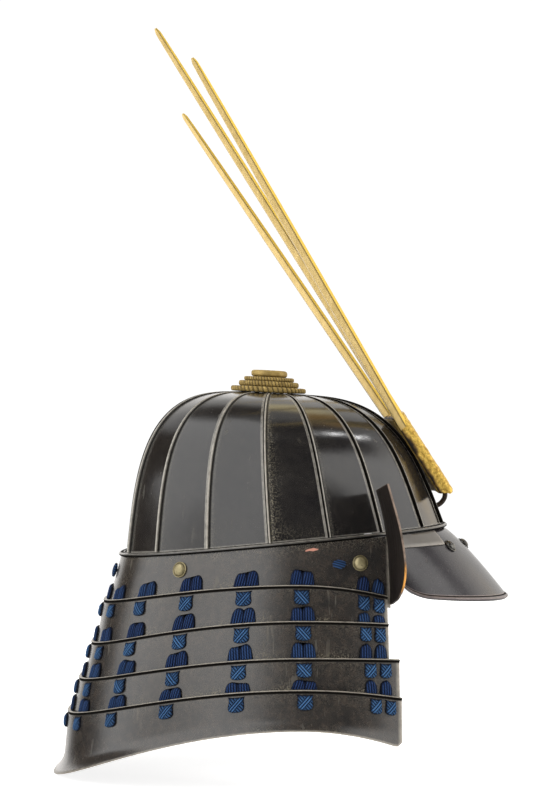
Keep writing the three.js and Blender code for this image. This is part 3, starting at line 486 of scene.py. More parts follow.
def bowl_at(angle, level):
    cos, sin = cos_sin(angle)
    front, back = profile(BOWL_FRONT, level), profile(BOWL_BACK, level)
    x = (front - back) / 2 - (front + back) / 2 * cos
    foot = rim_z(RIM_CENTRE - RIM_HALF * cos, angle)
    return np.stack([x, -profile(BOWL_SIDE, level) * sin, lerp(foot, CROWN_Z - CROWN_TILT * x, level)], -1)


def level_of(rise):
    return np.sin(np.maximum(rise, 0) * np.pi / 2) ** 0.75


def bowl_normal(angle, rise):
    around = bowl_at(angle + 0.3, level_of(rise)) - bowl_at(angle - 0.3, level_of(rise))
    upwards = bowl_at(angle, level_of(rise + 0.004)) - bowl_at(angle, level_of(rise - 0.004))
    normal = unit(np.cross(around, upwards))
    cos, sin = cos_sin(angle)
    outwards = normal[..., 2] - normal[..., 0] * cos - normal[..., 1] * sin
    return normal * np.where(outwards < 0, -1, 1)[..., None]


def solve(low, high, grows, shape):
    """Where a growing function passes zero between two bounds, for a whole array of answers at once."""
    low, high = np.full(shape, low), np.full(shape, high)
    for _ in range(40):
        middle = (low + high) / 2
        above = grows(middle) > 0
        high = np.where(above, middle, high)
        low = np.where(above, low, middle)
    return (low + high) / 2


def rise_at_crown_hole(angle):
    def beyond(rise):
        point = bowl_at(angle, level_of(rise))
        return CROWN_HOLE_RADIUS - np.hypot(point[..., 0], point[..., 1])

    return solve(0.2, 0.9999, beyond, angle.shape)


def rise_at_foot(angle):
    foot = bowl_at(angle, np.zeros(angle.shape))[..., 2] + PLATE_FOOT

    def above(rise):
        return bowl_at(angle, level_of(rise))[..., 2] - foot

    return solve(0.001, 0.4, above, angle.shape)


def plate_rise(angle, share):
    """How far up the bowl a share of a plate's height lies."""
    return lerp(rise_at_foot(angle), rise_at_crown_hole(angle), share)


def crown_height(x, y):
    """Height of the bowl's outer face over points of the plan near the crown."""
    def beyond(level):
        front, back = profile(BOWL_FRONT, level), profile(BOWL_BACK, level)
        along = (x - (front - back) / 2) / ((front + back) / 2)
        return along**2 + (y / profile(BOWL_SIDE, level)) ** 2 - 1

    level = solve(0.3, 0.99999, beyond, x.shape)
    return RIM_LEVEL + (CROWN_Z - CROWN_TILT * x - RIM_LEVEL) * level


def plate_edge(joint, share, inwards, rib, with_rib):
    """Columns of points from a joint inwards: angle, height, wear, crevice and distance from a rib."""
    angle = joint * np.ones(len(share))
    level = level_of(plate_rise(angle, share))
    degrees_per_mm = 1 / np.linalg.norm(bowl_at(angle + 0.5, level) - bowl_at(angle - 0.5, level), axis=-1)
    columns = []
    for point in RIB_SECTION if with_rib else PLAIN_EDGE:
        away = point.distance if with_rib else FAR_FROM_RIB
        at = joint + inwards * degrees_per_mm * point.distance
        columns.append((at, rib * point.height, point.wear, point.crevice, away))
    return columns, degrees_per_mm


def bowl_plate(start, end, rib_at_start, rib_at_end, seed, dustiness):
    """One plate of the bowl between two joints, flatter than the dome, as a forged plate is."""
    turn = 1 if end > start else -1
    share = np.concatenate([FOOT_SHARES, np.linspace(0.012, 1, PLATE_ROWS)])
    middle = (start + end) / 2 * np.ones(len(share))
    radius = np.linalg.norm(bowl_at(middle, level_of(plate_rise(middle, share)))[:, :2], axis=-1)
    shrink = np.clip((radius - RIB_FADE_TO) / (RIB_FADE_FROM - RIB_FADE_TO), 0, 1)
    rib = lerp(RIB_CROWN_HEIGHT, RIB_HEIGHT, shrink)
    near, degrees_per_mm = plate_edge(start, share, turn, rib, rib_at_start)
    far, _ = plate_edge(end, share, -turn, rib, rib_at_end)
    across = []
    for i in range(1, PLATE_COLUMNS):
        part = i / PLATE_COLUMNS
        away = abs(end - start) * part / degrees_per_mm.mean() + RIB_SECTION[-1].distance
        across.append((lerp(near[-1][0], far[-1][0], part), 0 * rib, 0.0, 0.0, away))
    columns = near + across + far[::-1]
    angle, height, *values = zip(*columns)
    angle, height = np.stack(angle, 1), np.stack(height, 1)
    wear, crevice, distance = (np.broadcast_to(value, angle.shape) for value in values)
    share = share[:, None]
    rise = plate_rise(angle, share)
    surface = bowl_at(angle, level_of(rise))
    part = (angle - angle[:, :1]) / (angle[:, -1:] - angle[:, :1])
    chord = lerp(surface[:, :1], surface[:, -1:], part[..., None])
    surface = lerp(surface, chord, PLATE_FLATNESS)
    normal = bowl_normal(angle, rise)
    dents = noise_at(surface, 26, seed) * HAMMER_DEPTH * np.clip(distance / 6, 0, 1)
    worn_foot = np.clip(1 - share * 400, 0, 1)
    settled = 0.15 * np.clip(1 - share * 12, 0, 1) ** 2
    # The wear layer also paints highlights on rib crests and plate edges, and the shade layer paints the dark     joints and the shadow beside each rib
    layers = {
        "wear": np.clip(wear * lerp(1.0, 0.75, share) + 0.8 * worn_foot, 0, 1),
        "crevice": crevice,
        "dust": dustiness * (np.exp(-np.maximum(distance - 2.5, 0) / 2.4) * lerp(1.2, 0.6, share) + settled),
    }
    return shell(surface + normal * (height + dents)[..., None], surface - normal * IRON, layers)


def bowl_plates():
    """Angles and ribs of the sixteen plates in the order of their nodes."""
    last = len(RIB_ANGLES) - 1
    spans = [(RIB_ANGLES[last], 360 - RIB_ANGLES[last], True, True)]
    spans += [(RIB_ANGLES[i - 1], RIB_ANGLES[i], True, False) for i in range(last, 0, -1)]
    spans.append((-RIB_ANGLES[0], RIB_ANGLES[0], False, False))
    spans += [(-RIB_ANGLES[i], -RIB_ANGLES[i + 1], True, False) for i in range(last)]
    return spans


def rim_point(angle, offset, drop):
    cos, sin = cos_sin(angle)
    x = RIM_CENTRE - RIM_HALF * cos
    y = -BOWL_SIDE.reach * sin
    out = unit(np.stack([-cos / RIM_HALF, -sin / BOWL_SIDE.reach], -1))
    return np.stack([x + out[..., 0] * offset, y + out[..., 1] * offset, rim_z(x, angle) - drop], -1)


def rim_band():
    angle = np.arange(0, 360, 1.5)
    wobble = 0.06 * cos_sin(angle * 7)[1] + 0.05 * cos_sin(angle * 17 + 40)[1]
    loops = []
    for row in RIM_SECTION:
        loops.append(rim_point(angle, row.offset + (wobble if row.offset >= 0 else 0), -row.height))
    layers = {name: column_of(RIM_SECTION, name) for name in ("wear", "crevice")}
    return loft(np.stack(loops, 1), wrap=True, layers=layers)


# Finial

def finial_tier(tier, floor_z):
    """One stepped ring with a rope edge. The lowest follows the crown with its underside."""
    turn = np.linspace(0, 2 * np.pi, 12 * tier.beads or 96, endpoint=False)[:, None]
    arc = np.linspace(-0.5, 0.5, 13)[None, :] * np.pi
    full = np.cos(arc) ** 0.6
    twist = np.abs(np.sin((tier.beads * turn + 1.1 * arc) / 2)) if tier.beads else 1 + 0 * turn
    edge, hole, top = tier.radius - tier.rounding * 1.6, FINIAL_HOLE_RADIUS, tier.height
    inner = [(edge - 0.6, top, 0.1), (edge - 1.2, top, 0.4), (hole, top, 0.4)]
    if tier.node == "finial_collar":
        inner = [(edge - 1.0, top - 0.1, 0.6), (edge - 2.2, top - 0.9, 0.2), (hole + 0.6, top - 1.0, 0.6),
                 (hole, top - 1.0, 0.4)]
    inner.append((hole, 0.0, 0.1))
    inner_reach, inner_z, inner_tone = (0 * turn + np.array(column) for column in zip(*inner))
    outer_z = tier.height / 2 * (1 + np.copysign(np.abs(np.sin(arc)) ** 0.8, arc)) + 0 * turn
    outer_tone = twist * (0.35 + 0.65 * full) if tier.beads else 0.8 + 0 * (turn + arc)
    outer_reach = lerp(edge, tier.radius, full) - tier.bead_depth * (1 - twist) * full
    reach = np.concatenate([outer_reach, inner_reach], 1)
    z = np.concatenate([outer_z, inner_z], 1)
    x, y = reach * np.cos(turn), reach * np.sin(turn)
    tilted = floor_z - CROWN_TILT * (x - CROWN_TILT * floor_z)
    if tier.node == "finial_base":
        level = np.maximum(reach, CROWN_HOLE_RADIUS - 0.6) / reach
        seat = crown_height(x * level, y * level) + RIB_CROWN_HEIGHT + NEAR_GAP
        top = floor_z + tier.height - CROWN_TILT * x
        z = lerp(seat, top, np.clip((z + tilted - top) / tier.height + 1, 0, 1))
    else:
        z = lerp(0.05 - GAP, tier.height, z / tier.height) + tilted
        x = x + CROWN_TILT * floor_z
    tone = np.concatenate([outer_tone, inner_tone], 1)
    return loft(np.stack([x, y, z], -1), wrap=True, layers={"ridge": tone})


# Visor

def visor_at(turn, along):
    inner = rim_point(180 - turn, -0.6, NEAR_GAP)
    share = turn / VISOR_HALF_ANGLE
    cos, sin = cos_sin(share * VISOR_OUTER_ANGLE)
    return np.stack([
        lerp(inner[..., 0], VISOR_CENTRE_X + VISOR_REACH_X * cos, along),
        lerp(inner[..., 1], -VISOR_REACH_Y * sin, along),
        lerp(inner[..., 2], VISOR_TIP_Z + VISOR_SIDE_RISE * share**2, along**VISOR_DROOP),
    ], -1)


def visor_point(turn, along, offset):
    turn, along, offset = np.broadcast_arrays(turn, along, offset)
    across = visor_at(turn + 0.5, along) - visor_at(turn - 0.5, along)
    down = visor_at(turn, along + 0.01) - visor_at(turn, np.maximum(along - 0.01, 0))
    normal = unit(np.cross(across, down))
    normal = normal * np.where(normal[..., 2] < 0, -1, 1)[..., None]
    return visor_at(turn, along) + normal * offset[..., None]


def visor_plate():
    part = np.linspace(-1, 1, 121)[:, None]
    turn = VISOR_HALF_ANGLE * np.sign(part) * np.abs(part) ** 0.85
    past = np.maximum(np.abs(turn) / VISOR_HALF_ANGLE - VISOR_CORNER_START, 0) / (1 - VISOR_CORNER_START)
    corner = 1 - (1 - VISOR_CORNER_END) * (1 - np.sqrt(np.maximum(1 - past**2, 0)))
    plain = [(along, 0.0, 0.0, 0.0) for along in np.linspace(0, 0.935, 29)]
    rows, lift, wear, crevice = (row[None, :] for row in np.array(plain + VISOR_EDGE).T)
    outer = visor_point(turn, rows * corner, VISOR_LIP * lift)
    outer = outer + np.array([0, 0, 1.0]) * (noise_at(outer, 30, 5.0) * 0.15)[..., None]
    inner = visor_point(turn, rows * corner, -IRON)
    return shell(outer, inner, {"wear": wear, "crevice": crevice, "dust": 0.6 * np.exp(-rows / 0.06)})


def visor_strip(hand):
    """Pale strip over one end of the visor, lower towards the front: hand is 1 on the wearer's right."""
    turn = hand * VISOR_HALF_ANGLE * np.linspace(STRIP_FROM, STRIP_TO, STRIP_STEPS)[:, None]
    length = np.linalg.norm(visor_at(turn, 1.0 + 0 * turn) - visor_at(turn, 0 * turn), axis=-1)
    end = np.linspace(STRIP_FRONT_HEIGHT, STRIP_BACK_HEIGHT, STRIP_STEPS)[:, None] / length
    along = lerp(STRIP_START, end, column_of(STRIP_SECTION, "part"))
    outer = visor_point(turn, along, GAP + STRIP_THICKNESS * column_of(STRIP_SECTION, "rise"))
    ends = np.zeros((STRIP_STEPS, 1))
    ends[[0, 1, -2, -1]] = 0.6
    wear = np.maximum(ends, column_of(STRIP_SECTION, "wear"))
    return shell(outer, visor_point(turn, along, GAP), {"wear": wear})


# Neck guard

def guard_reach(k):
    """Reach of a lame's top edge to the back and to the side."""
    back, side = GUARD_BACK, GUARD_SIDE
    for above, step, below in zip(LAMES[:k], LAMES[1:], [*LAMES[2:], HEM]):
        hidden = 0 if below is HEM else GUARD_HIDDEN
        back += above.spread_back + LAME_IRON + GUARD_GAP
        back -= step.spread_back * GUARD_HIDDEN / (step.back - below.back + hidden)
        side += above.spread_side + LAME_IRON + GUARD_GAP
        side -= step.spread_side * GUARD_HIDDEN / (step.side - below.side + hidden)
    return back, side


REACHES = [guard_reach(k) for k in range(len(LAMES))]


def lame_top(k, angle):
    cos, sin = cos_sin(angle)
    behind = np.abs(angle) <= 90
    x = GUARD_CENTRE_X - np.where(behind, REACHES[min(k, LAST)][0], GUARD_FRONT_REACH) * cos
    if k == 0:
        return rim_z(x, angle) - NEAR_GAP
    row = [*LAMES, HEM][k]
    forward = (x - GUARD_CENTRE_X) / (LAMES[min(k, LAST)].front_x - GUARD_CENTRE_X)
    return np.where(behind, lerp(row.back, row.side, sin**2), lerp(row.side, row.front, forward**2))


def lame_bottom(k, angle):
    return lame_top(k + 1, angle) - (0 if k == LAST else GUARD_HIDDEN)


def lame_height(k, angle):
    return lame_top(k, angle) - lame_bottom(k, angle)


def lame_at(k, angle, share, offset):
    angle, share, offset = np.broadcast_arrays(np.asarray(angle, float), share, offset)
    lame = LAMES[k]
    cos, sin = cos_sin(angle)
    along = REACHES[k][0] + lame.spread_back * share
    across = REACHES[k][1] + lame.spread_side * share
    if k == LAST:
        flare = np.maximum(share - HEM_FLARE_FROM, 0) / (1 - HEM_FLARE_FROM)
        along = along + HEM_FLARE_BACK * flare**2
        across = across + HEM_FLARE_SIDE * flare**2
    along = np.where(cos >= 0, along, GUARD_FRONT_REACH)
    out = unit(np.stack([-cos / along, -sin / across], -1))
    z = lerp(lame_top(k, angle), lame_bottom(k, angle), share)
    x = GUARD_CENTRE_X - along * cos + out[..., 0] * offset
    return np.stack([x, -across * sin + out[..., 1] * offset, z], -1)


def lame_depth(k, angle, depth, offset):
    """Point by its depth below the lame's top edge, or, where negative, above the next lame's edge."""
    angle, depth, offset = np.broadcast_arrays(np.asarray(angle, float), depth, offset)
    height = lame_height(k, angle)
    below = np.where(depth < 0, height - GUARD_HIDDEN + depth, depth)
    return lame_at(k, angle, below / height, offset)


def lame_normal(k, angle, depth):
    around = lame_depth(k, angle + 0.5, depth, 0) - lame_depth(k, angle - 0.5, depth, 0)
    down = lame_depth(k, angle, depth + 1, 0) - lame_depth(k, angle, depth, 0)
    return unit(np.cross(down, around))


def angle_at_x(x):
    return math.degrees(math.acos((GUARD_CENTRE_X - x) / GUARD_FRONT_REACH))


def lame_degrees(k, angle):
    """Degrees of one millimetre round a lame."""
    return 1 / np.linalg.norm(lame_at(k, angle + 0.5, 0.5, 0) - lame_at(k, angle - 0.5, 0.5, 0), axis=-1)


def lame_band(k):
    end = angle_at_x(LAMES[k].front_x)
    angle = np.concatenate([[-end], np.linspace(-end + 0.25, end - 0.25, LAME_COLUMNS), [end]])[:, None]
    height = lame_height(k, angle)
    edge = LAME_EDGE if k else PLAIN_TOP
    depths = [row.depth + 0 * height for row in edge]
    depths += [lerp(edge[-1].depth, height, i / LAME_ROWS) for i in range(1, LAME_ROWS)]
    depths += [height - 0.3, height]
    share = np.concatenate(depths, 1) / height
    plain = np.zeros((1, LAME_ROWS + 1))
    columns = [column_of(edge, name) for name in ("wear", "crevice", "offset")]
    wear, crevice, offset = (np.concatenate([column, plain], 1) + 0 * share for column in columns)
    offset[:, -1] = -0.3
    wear[:, -2:] = (0.8, 1.0)
    wear[[0, 1, -2, -1]] = np.maximum(wear[[0, 1, -2, -1]], 0.8)
    if k == LAST:
        cut = np.clip(1 - np.abs(end - np.abs(angle)) / 2.2, 0, 1) ** 2 * HEM_CORNER / height
        share = share * (1 - cut)
    depth = share * height
    dents = noise_at(lame_at(k, angle, share, 0), 34, 3.0 * k) * LAME_DENT * np.clip(depth / 6, 0, 1)
    outer = lame_at(k, angle, share, offset + dents)
    chip = np.zeros_like(share)
    for spot in CHIPS:
        if spot.lame == k:
            aside = (np.abs(angle) - spot.angle) / (spot.half_width * lame_degrees(k, spot.angle))
            below = (depth - spot.depth) / spot.half_height
            chip = np.maximum(chip, np.clip(2.2 - 1.6 * np.hypot(aside, below), 0, 1))
    free = height - (GUARD_HIDDEN if k < LAST else 0)
    patchy = np.clip(0.35 + 1.6 * noise_at(outer, 24, 7.0 + k), 0, 1)
    dust = 0.3 * np.exp(-depth / 4) + 0.75 * patchy * np.exp(-np.abs(free - depth) / 2.6)
    # The wear layer also paints the highlight along the top edge, and the shade layer the shadow under the
    # roll
    layers = {"wear": wear, "crevice": crevice, "dust": dust, "chip": chip}
    return shell(outer, lame_at(k, angle, share, -LAME_IRON), layers)


def flap(hand):
    """Turned-back flap on one side: hand is -1 on the wearer's right."""
    columns = [spline_rows(column, FLAP_STEPS)[:, None] for column in zip(*FLAP_ROWS)]
    root_z, tip_z, width, root_x, tip_x = columns
    end = angle_at_x(LAMES[0].front_x)
    below = lame_top(0, end) - root_z
    root = -lame_at(0, end, np.clip(below / lame_height(0, end), 0, 1), -LAME_IRON / 2)[..., 1]
    part = np.concatenate([np.linspace(0, 0.972, FLAP_COLUMNS), [0.984, 0.993, 1.0]])[None, :]
    rounded = np.array([0.0] * FLAP_COLUMNS + [0.1, 0.3, 0.6])[None, :]
    z = lerp(root_z, tip_z, part)
    line = np.stack([lerp(root_x, tip_x, part**FLAP_BEND), hand * (root + width * part), z], -1)
    ripple = noise_at(line, 18, 2.0) * 0.3
    forwards = np.array([1.0, 0, 0])
    back = line + (ripple + rounded)[..., None] * forwards
    front = line + (ripple + LAME_IRON - rounded)[..., None] * forwards
    wear = np.clip((part - 0.978) / 0.008, 0, 1) * np.clip((z + 138) / 5, 0.25, 1)
    wear[[0, -1]] = np.maximum(wear[[0, -1]], 0.3)
    gilt = np.clip((-111 - z) / 5, 0, 1) * np.clip((z + 134) / 4, 0, 1)
    wear, gilt = (np.concatenate([values, values[:, ::-1]], 1) for values in (wear, gilt))
    return loft(np.concatenate([back, front[:, ::-1]], 1), layers={"wear": wear, "gilt": gilt})


# Lacing

def on_lame(k, angle, x, depth, offset):
    """Point x mm round the lame from an angle."""
    return lame_depth(k, angle + x * lame_degrees(k, angle), depth, offset)


def hump_pad(k, angle, half, height):
    """Pair of humps where the cords turn over the edge of the next lame, each of upright twisted cords.
    A narrow pad has one hump."""
    single = half < PAIR_HALF
    u = np.linspace(-1, 1, 2 * int(half * PAIR_POINTS) + 1)[None, :]
    v = (np.linspace(0, 1, int(height * PAIR_POINTS)) ** 0.9)[:, None]
    lean = dice.uniform(-0.1, 0.25)
    aside, drop, seam = np.abs(u), SHOULDER_DROP, 1.0
    if not single:
        seam = np.clip(aside / 0.08, 0, 1)
        drop = np.where(aside < HUMP_CENTRE, VALLEY_DROP, SHOULDER_DROP)
        aside = np.abs(aside - HUMP_CENTRE) / np.where(aside < HUMP_CENTRE, HUMP_CENTRE, 1 - HUMP_CENTRE)
    uneven = dice.uniform(0, 0.12) * (1 + np.sign(u) * dice.choice((-1, 1)))
    hump = np.sqrt(np.maximum(1 - aside**2, 0))
    top = height * np.clip(drop * (1 - hump) + uneven * (1 - aside), 0, 0.95)
    y = np.minimum(top + (height - top) * v - height, -0.25)
    x = u * half * (0.9 + 0.1 * v) - lean * y * 0.4
    strand = ribbed(x + lean * y * 1.5 + 0.3, CORD_WIDTH) * seam
    ridge = np.clip(0.8 * strand + 0.2 * ribbed(y - x * 0.9, TWIST_PITCH), 0, 1)
    start = np.sqrt(1 - (1 - np.minimum(v / 0.3, 1)) ** 2)
    merged = np.maximum(1 - u**2, 0) ** 0.35
    dome = np.maximum(hump, 0.78 * merged) * start
    outer = on_lame(k, angle, x, y, 0.15 + PAD_THICKNESS * dome * (0.66 + 0.42 * ridge))
    # The ridge layer fades towards the pad's edge, which the braid paints as shade round the pad
    layers = {"ridge": ridge * np.clip(1.5 * dome - 0.15, 0, 1), "bright": dice.uniform(0, 0.2)}
    return shell(outer, on_lame(k, angle, x, y, 0.1), layers, PAD_INNER_COLUMNS)


def cross_knot(k, angle, half):
    """Knot of two braids that cross, over the lower hole of a lame: wide and horned above, narrower below."""
    width = half * dice.uniform(1.0, 1.07)
    length = (KNOT_BOTTOM - KNOT_TOP) * dice.uniform(0.97, 1.03)
    hand = dice.choice((-1, 1, 1))
    u = np.linspace(-1, 1, 2 * int(half * KNOT_POINTS) + 1)[None, :]
    v = np.linspace(0, 1, 44)[:, None]
    s = 2 * v - 1
    outline = 0.94 + 0.14 * s - 0.04 * s**2 - 0.24 * s**3
    x = u * width * outline + dice.uniform(-0.4, 0.4)
    horns = 0.06 * length * np.abs(u) ** 2.5 * (1 - v) ** 2
    foot = 0.1 * length * np.abs(u) ** 3 * v**3
    y = KNOT_TOP + length * v - horns - foot
    down = (y - KNOT_TOP - length / 2) * 0.9
    rise, fall = hand * x + down, hand * x - down
    over = np.abs(rise) < width * 0.55
    first = ribbed(rise, KNOT_PITCH) * (0.75 + 0.25 * ribbed(fall, TWIST_PITCH))
    second = ribbed(fall, KNOT_PITCH) * (0.75 + 0.25 * ribbed(rise, TWIST_PITCH))
    ridge = np.where(over, first, second * 0.85)
    dome = np.maximum(1 - np.abs(u) ** 4, 0) ** 0.5 * np.maximum(1 - np.abs(s) ** 4, 0) ** 0.5
    outer = on_lame(k, angle, x, y, 0.12 + PAD_THICKNESS * dome * (0.62 + 0.4 * ridge + 0.08 * over))
    # The ridge layer fades towards the knot's edge, which the braid paints as shade round the knot
    layers = {"ridge": ridge * np.clip(1.4 * dome - 0.2, 0, 1), "bright": dice.uniform(0.7, 1.0)}
    return shell(outer, on_lame(k, angle, x, y, 0.08), layers, PAD_INNER_COLUMNS)


def flat_strand(k, angle, half, start, end, offset):
    """Flat run of the braid along a lame between two depths, its middle at an offset from the outer face."""
    depth = np.linspace(start, end, 14)[:, None]
    section = np.linspace(0, 2 * np.pi, 16, endpoint=False)[None, :]
    x, lift = (np.sign(wave) * np.abs(wave) ** 0.6 for wave in (np.cos(section), np.sin(section)))
    loops = on_lame(k, angle, half * x, depth + 0 * x, offset + STRAND_THICKNESS / 2 * lift)
    ridge = 0.6 + 0.4 * np.sin(np.pi * (depth + 3 * half * x) / TWIST_PITCH)
    return loft(loops, cap="fan", layers={"ridge": ridge, "bright": 0})


def lace_column(angles, half_pair, half_knot):
    """Braid down the whole neck guard, by its angle on each lame."""
    parts = []
    inside = -LAME_IRON - NEAR_GAP - STRAND_THICKNESS / 2
    between = GAP + STRAND_THICKNESS / 2
    half_strand = half_knot * 0.9
    for k, angle in enumerate(angles):
        height = lame_height(k, angle)
        if k:
            parts.append(cross_knot(k, angle, half_knot))
        if k == LAST:
            parts.append(flat_strand(k, angle, half_strand, KNOT_TOP, KNOT_TOP + SLOT_HEIGHT + 5, inside))
            continue
        pad = min(PAIR_HEIGHT, height - GUARD_HIDDEN - KNOT_BOTTOM - 0.9) if k else PAIR_HEIGHT
        pair_top = height - GUARD_HIDDEN - pad
        parts.append(hump_pad(k, angle, half_pair, pad))
        start = KNOT_TOP if k else pair_top - 2
        parts.append(flat_strand(k, angle, half_strand, start, pair_top + SLOT_HEIGHT, inside))
        parts.append(flat_strand(k, angle, half_strand, height - GUARD_HIDDEN - 0.5, height, between))
    return join(parts)


# Rivets and single knots

def lathe(line, steps):
    turn = np.linspace(0, 2 * np.pi, steps, endpoint=False)[:, None]
    radius, z = np.array(line, float).T
    return np.stack([radius * np.cos(turn), radius * np.sin(turn), z + 0 * turn], -1)


def placed(points, origin, direction):
    """Points moved to an origin, with their Z along a direction, their X level and their Y upwards."""
    level = unit(np.cross((0, 0, 1.0), direction))
    return np.asarray(origin) + points @ np.stack([level, np.cross(direction, level), direction])


def dome_rivet(origin, direction, radius, height, ring, shank):
    """Domed head with a thin ring round its foot, on a shank."""
    arc = np.linspace(0, np.pi / 2, 12)[:-1]
    dome, foot, rise = radius - 0.8, GAP + ring * 0.6, height - ring * 0.6
    rows = [(0.05, -shank, 0), (1.4, -shank, 0), (1.4, GAP, 0), (radius, GAP, 0.2), (radius, GAP + ring, 0.9)]
    rows += [(radius - 0.5, GAP + ring + 0.15, 0.9), (radius - 0.75, GAP + ring - 0.1, 0)]
    rows += [(dome * math.cos(a), foot + rise * math.sin(a), 0.3 + 0.7 * math.sin(a)) for a in arc]
    rows.append((0.05, GAP + height, 1))
    loops = placed(lathe([row[:2] for row in rows], 48), origin, direction)
    return loft(loops, wrap=True, layers={"ridge": np.array([row[2] for row in rows])[None, :]})


def oval_knot(knot):
    """Oval knot of twisted cord on a neck through the top lame."""
    origin = lame_depth(0, knot.angle, knot.depth, 0)
    out = lame_normal(0, knot.angle, knot.depth)
    around = np.linspace(0, 2 * np.pi, 72, endpoint=False)[:, None]
    lift = np.linspace(-np.pi / 2 + 0.02, np.pi / 2 - 0.02, 40)[None, :]
    x = np.cos(lift) * np.cos(around) * knot.width / 2
    y = np.cos(lift) * np.sin(around) * knot.height / 2
    ridge = ribbed(0.3 * x + y, 1.7)
    swell = 0.9 + 0.12 * ridge
    points = np.stack([x * swell, y * swell, np.sin(lift) * 1.7 * swell + 1.8], -1)
    bead = loft(placed(points, origin, out), wrap=True, layers={"ridge": ridge * 0.9, "bright": 0.3})
    neck_line = [(radius, z - LAME_IRON) for radius, z in KNOT_NECK] + [(1.1, 1.9), (0.05, 1.9)]
    neck = loft(placed(lathe(neck_line, 20), origin, out), wrap=True, layers={"ridge": 0.5, "bright": 0.2})
    return join([bead, neck])


# Crest

def crest_point(height, left, rear):
    height, left, rear = np.broadcast_arrays(height, left, rear)
    foot = np.array([CREST_FOOT_X, 0, CREST_FOOT_Z])
    point = foot + height[..., None] * CREST_UP + rear[..., None] * CREST_REAR
    return point + left[..., None] * np.array([0, 1.0, 0])


def crest_base():
    """Curved socket block with a rough leaf-gilt front and a rear darkened with painted shade."""
    left = np.linspace(-BASE_HALF_WIDTH, BASE_HALF_WIDTH, 90)[:, None]
    trim = BASE_END_TRIM * np.clip((np.abs(left) - BASE_HALF_WIDTH + 3) / 3, 0, 1) ** 2
    steps = np.linspace(0, 1, 48)[None, :]
    from_end = np.clip(np.minimum(steps, 1 - steps) * (BASE_HEIGHT + BASE_FOOT_DROP) / BASE_CORNER, 0, 1)
    rounding = BASE_CORNER * 0.75 * (1 - np.sqrt(1 - (1 - from_end) ** 2))
    front = lerp(BASE_FOOT_FRONT, BASE_TOP_FRONT, steps) + left**2 / (2 * BASE_FRONT_RADIUS) + trim + rounding
    rear = BASE_REAR + left**2 / (2 * BASE_REAR_RADIUS) - trim - rounding * 1.2
    front_grid = crest_point(lerp(-BASE_FOOT_DROP, BASE_HEIGHT, steps), left, front)
    rear_grid = crest_point(BASE_HEIGHT * steps, left, rear)
    bump = noise_at(front_grid, 2.6, 9.0) * 0.38 + noise_at(front_grid, 7.0, 4.0) * 0.35
    front_grid = front_grid - np.minimum(bump, 0.4)[..., None] * CREST_REAR
    side = np.linspace(0, 1, 12)[None, 1:-1, None]
    top = lerp(front_grid[:, -1:], rear_grid[:, -1:], side)
    foot = lerp(rear_grid[:, :1], front_grid[:, :1], side)
    loops = np.concatenate([front_grid, top, rear_grid[:, ::-1], foot], 1)
    depth = (loops - crest_point(0.0, 0.0, BASE_FOOT_FRONT)) @ CREST_REAR / (BASE_REAR - BASE_FOOT_FRONT)
    return loft(loops, cap="fan", layers={"rear": np.clip(depth, 0, 1)})


def prong(side):
    """One prong, from its socket to its tip: side is -1, 0 or 1 towards the wearer's left."""
    angle = side * SIDE_ANGLE
    total, set_back = (SIDE_LENGTH, SIDE_SET_BACK) if side else (CENTRE_LENGTH, 0)
    start = (ROOT_BELOW_FOOT + BASE_HEIGHT - SOCKET_DEPTH) / math.cos(angle)
    share = np.concatenate([np.linspace(0, 0.97, 110), [0.98, 0.988, 0.994, 0.998, 1.0]])[:, None]
    length = lerp(start, total, share)
    taper = np.where(share < 0.95, 1 - share**2, 0.0975 * (1 - share) / 0.05)
    tip = np.maximum(share - 0.99, 0) / 0.01
    depth = lerp(PRONG_TIP_DEPTH, PRONG_DEPTH, np.sqrt(1 - share**2)) * (1 - 0.5 * tip)
    half = PRONG_TIP_HALF * (1 - 0.6 * tip) + (PRONG_HALF - PRONG_TIP_HALF) * taper
    near = np.array(PRONG_SIDE, float)
    mirrored = near[::-1] * (-1, 1, 1, 1)
    section = np.concatenate([near, [(0.0, -0.02, 0, 1)], mirrored, [(0.0, 1.0, 0, 0)]])
    across = half * section[:, 0]
    behind = set_back + depth * (section[:, 1] - 0.5)
    height = length * math.cos(angle) - across * math.sin(angle) - ROOT_BELOW_FOOT
    left = length * math.sin(angle) + across * math.cos(angle)
    layers = {"groove": section[:, 2], "front": section[:, 3]}
    return loft(crest_point(height, left, behind), cap="fan", layers=layers)


def crest_hook():
    """Round hook in the plane of symmetry, from the visor's root up behind the crest's base."""
    path = np.array([(x, 0, z) for x, z in HOOK_FOOT] + [crest_point(rise, 0.0, 0.0) for rise in (1.0, 12.0)])
    line = np.stack([spline_rows(path[:, axis], 60) for axis in range(3)], -1)
    sideways = np.array([0, 1.0, 0])
    up = unit(np.cross(unit(np.gradient(line, axis=0)), sideways))
    turn = np.linspace(0, 2 * np.pi, 20, endpoint=False)[None, :, None]
    ring = np.cos(turn) * sideways + np.sin(turn) * up[:, None]
    return loft(line[:, None] + HOOK_RADIUS * ring, cap="fan")


# Materials

Finish = namedtuple("Finish", "material slot")
# Black of the joints, also used as painted shade under edges, under the moulding and beside ribs
JOINT_AND_SHADE_BLACK = (0.003, 0.0025, 0.002)
CHIP_COLOUR = (0.46, 0.20, 0.14)


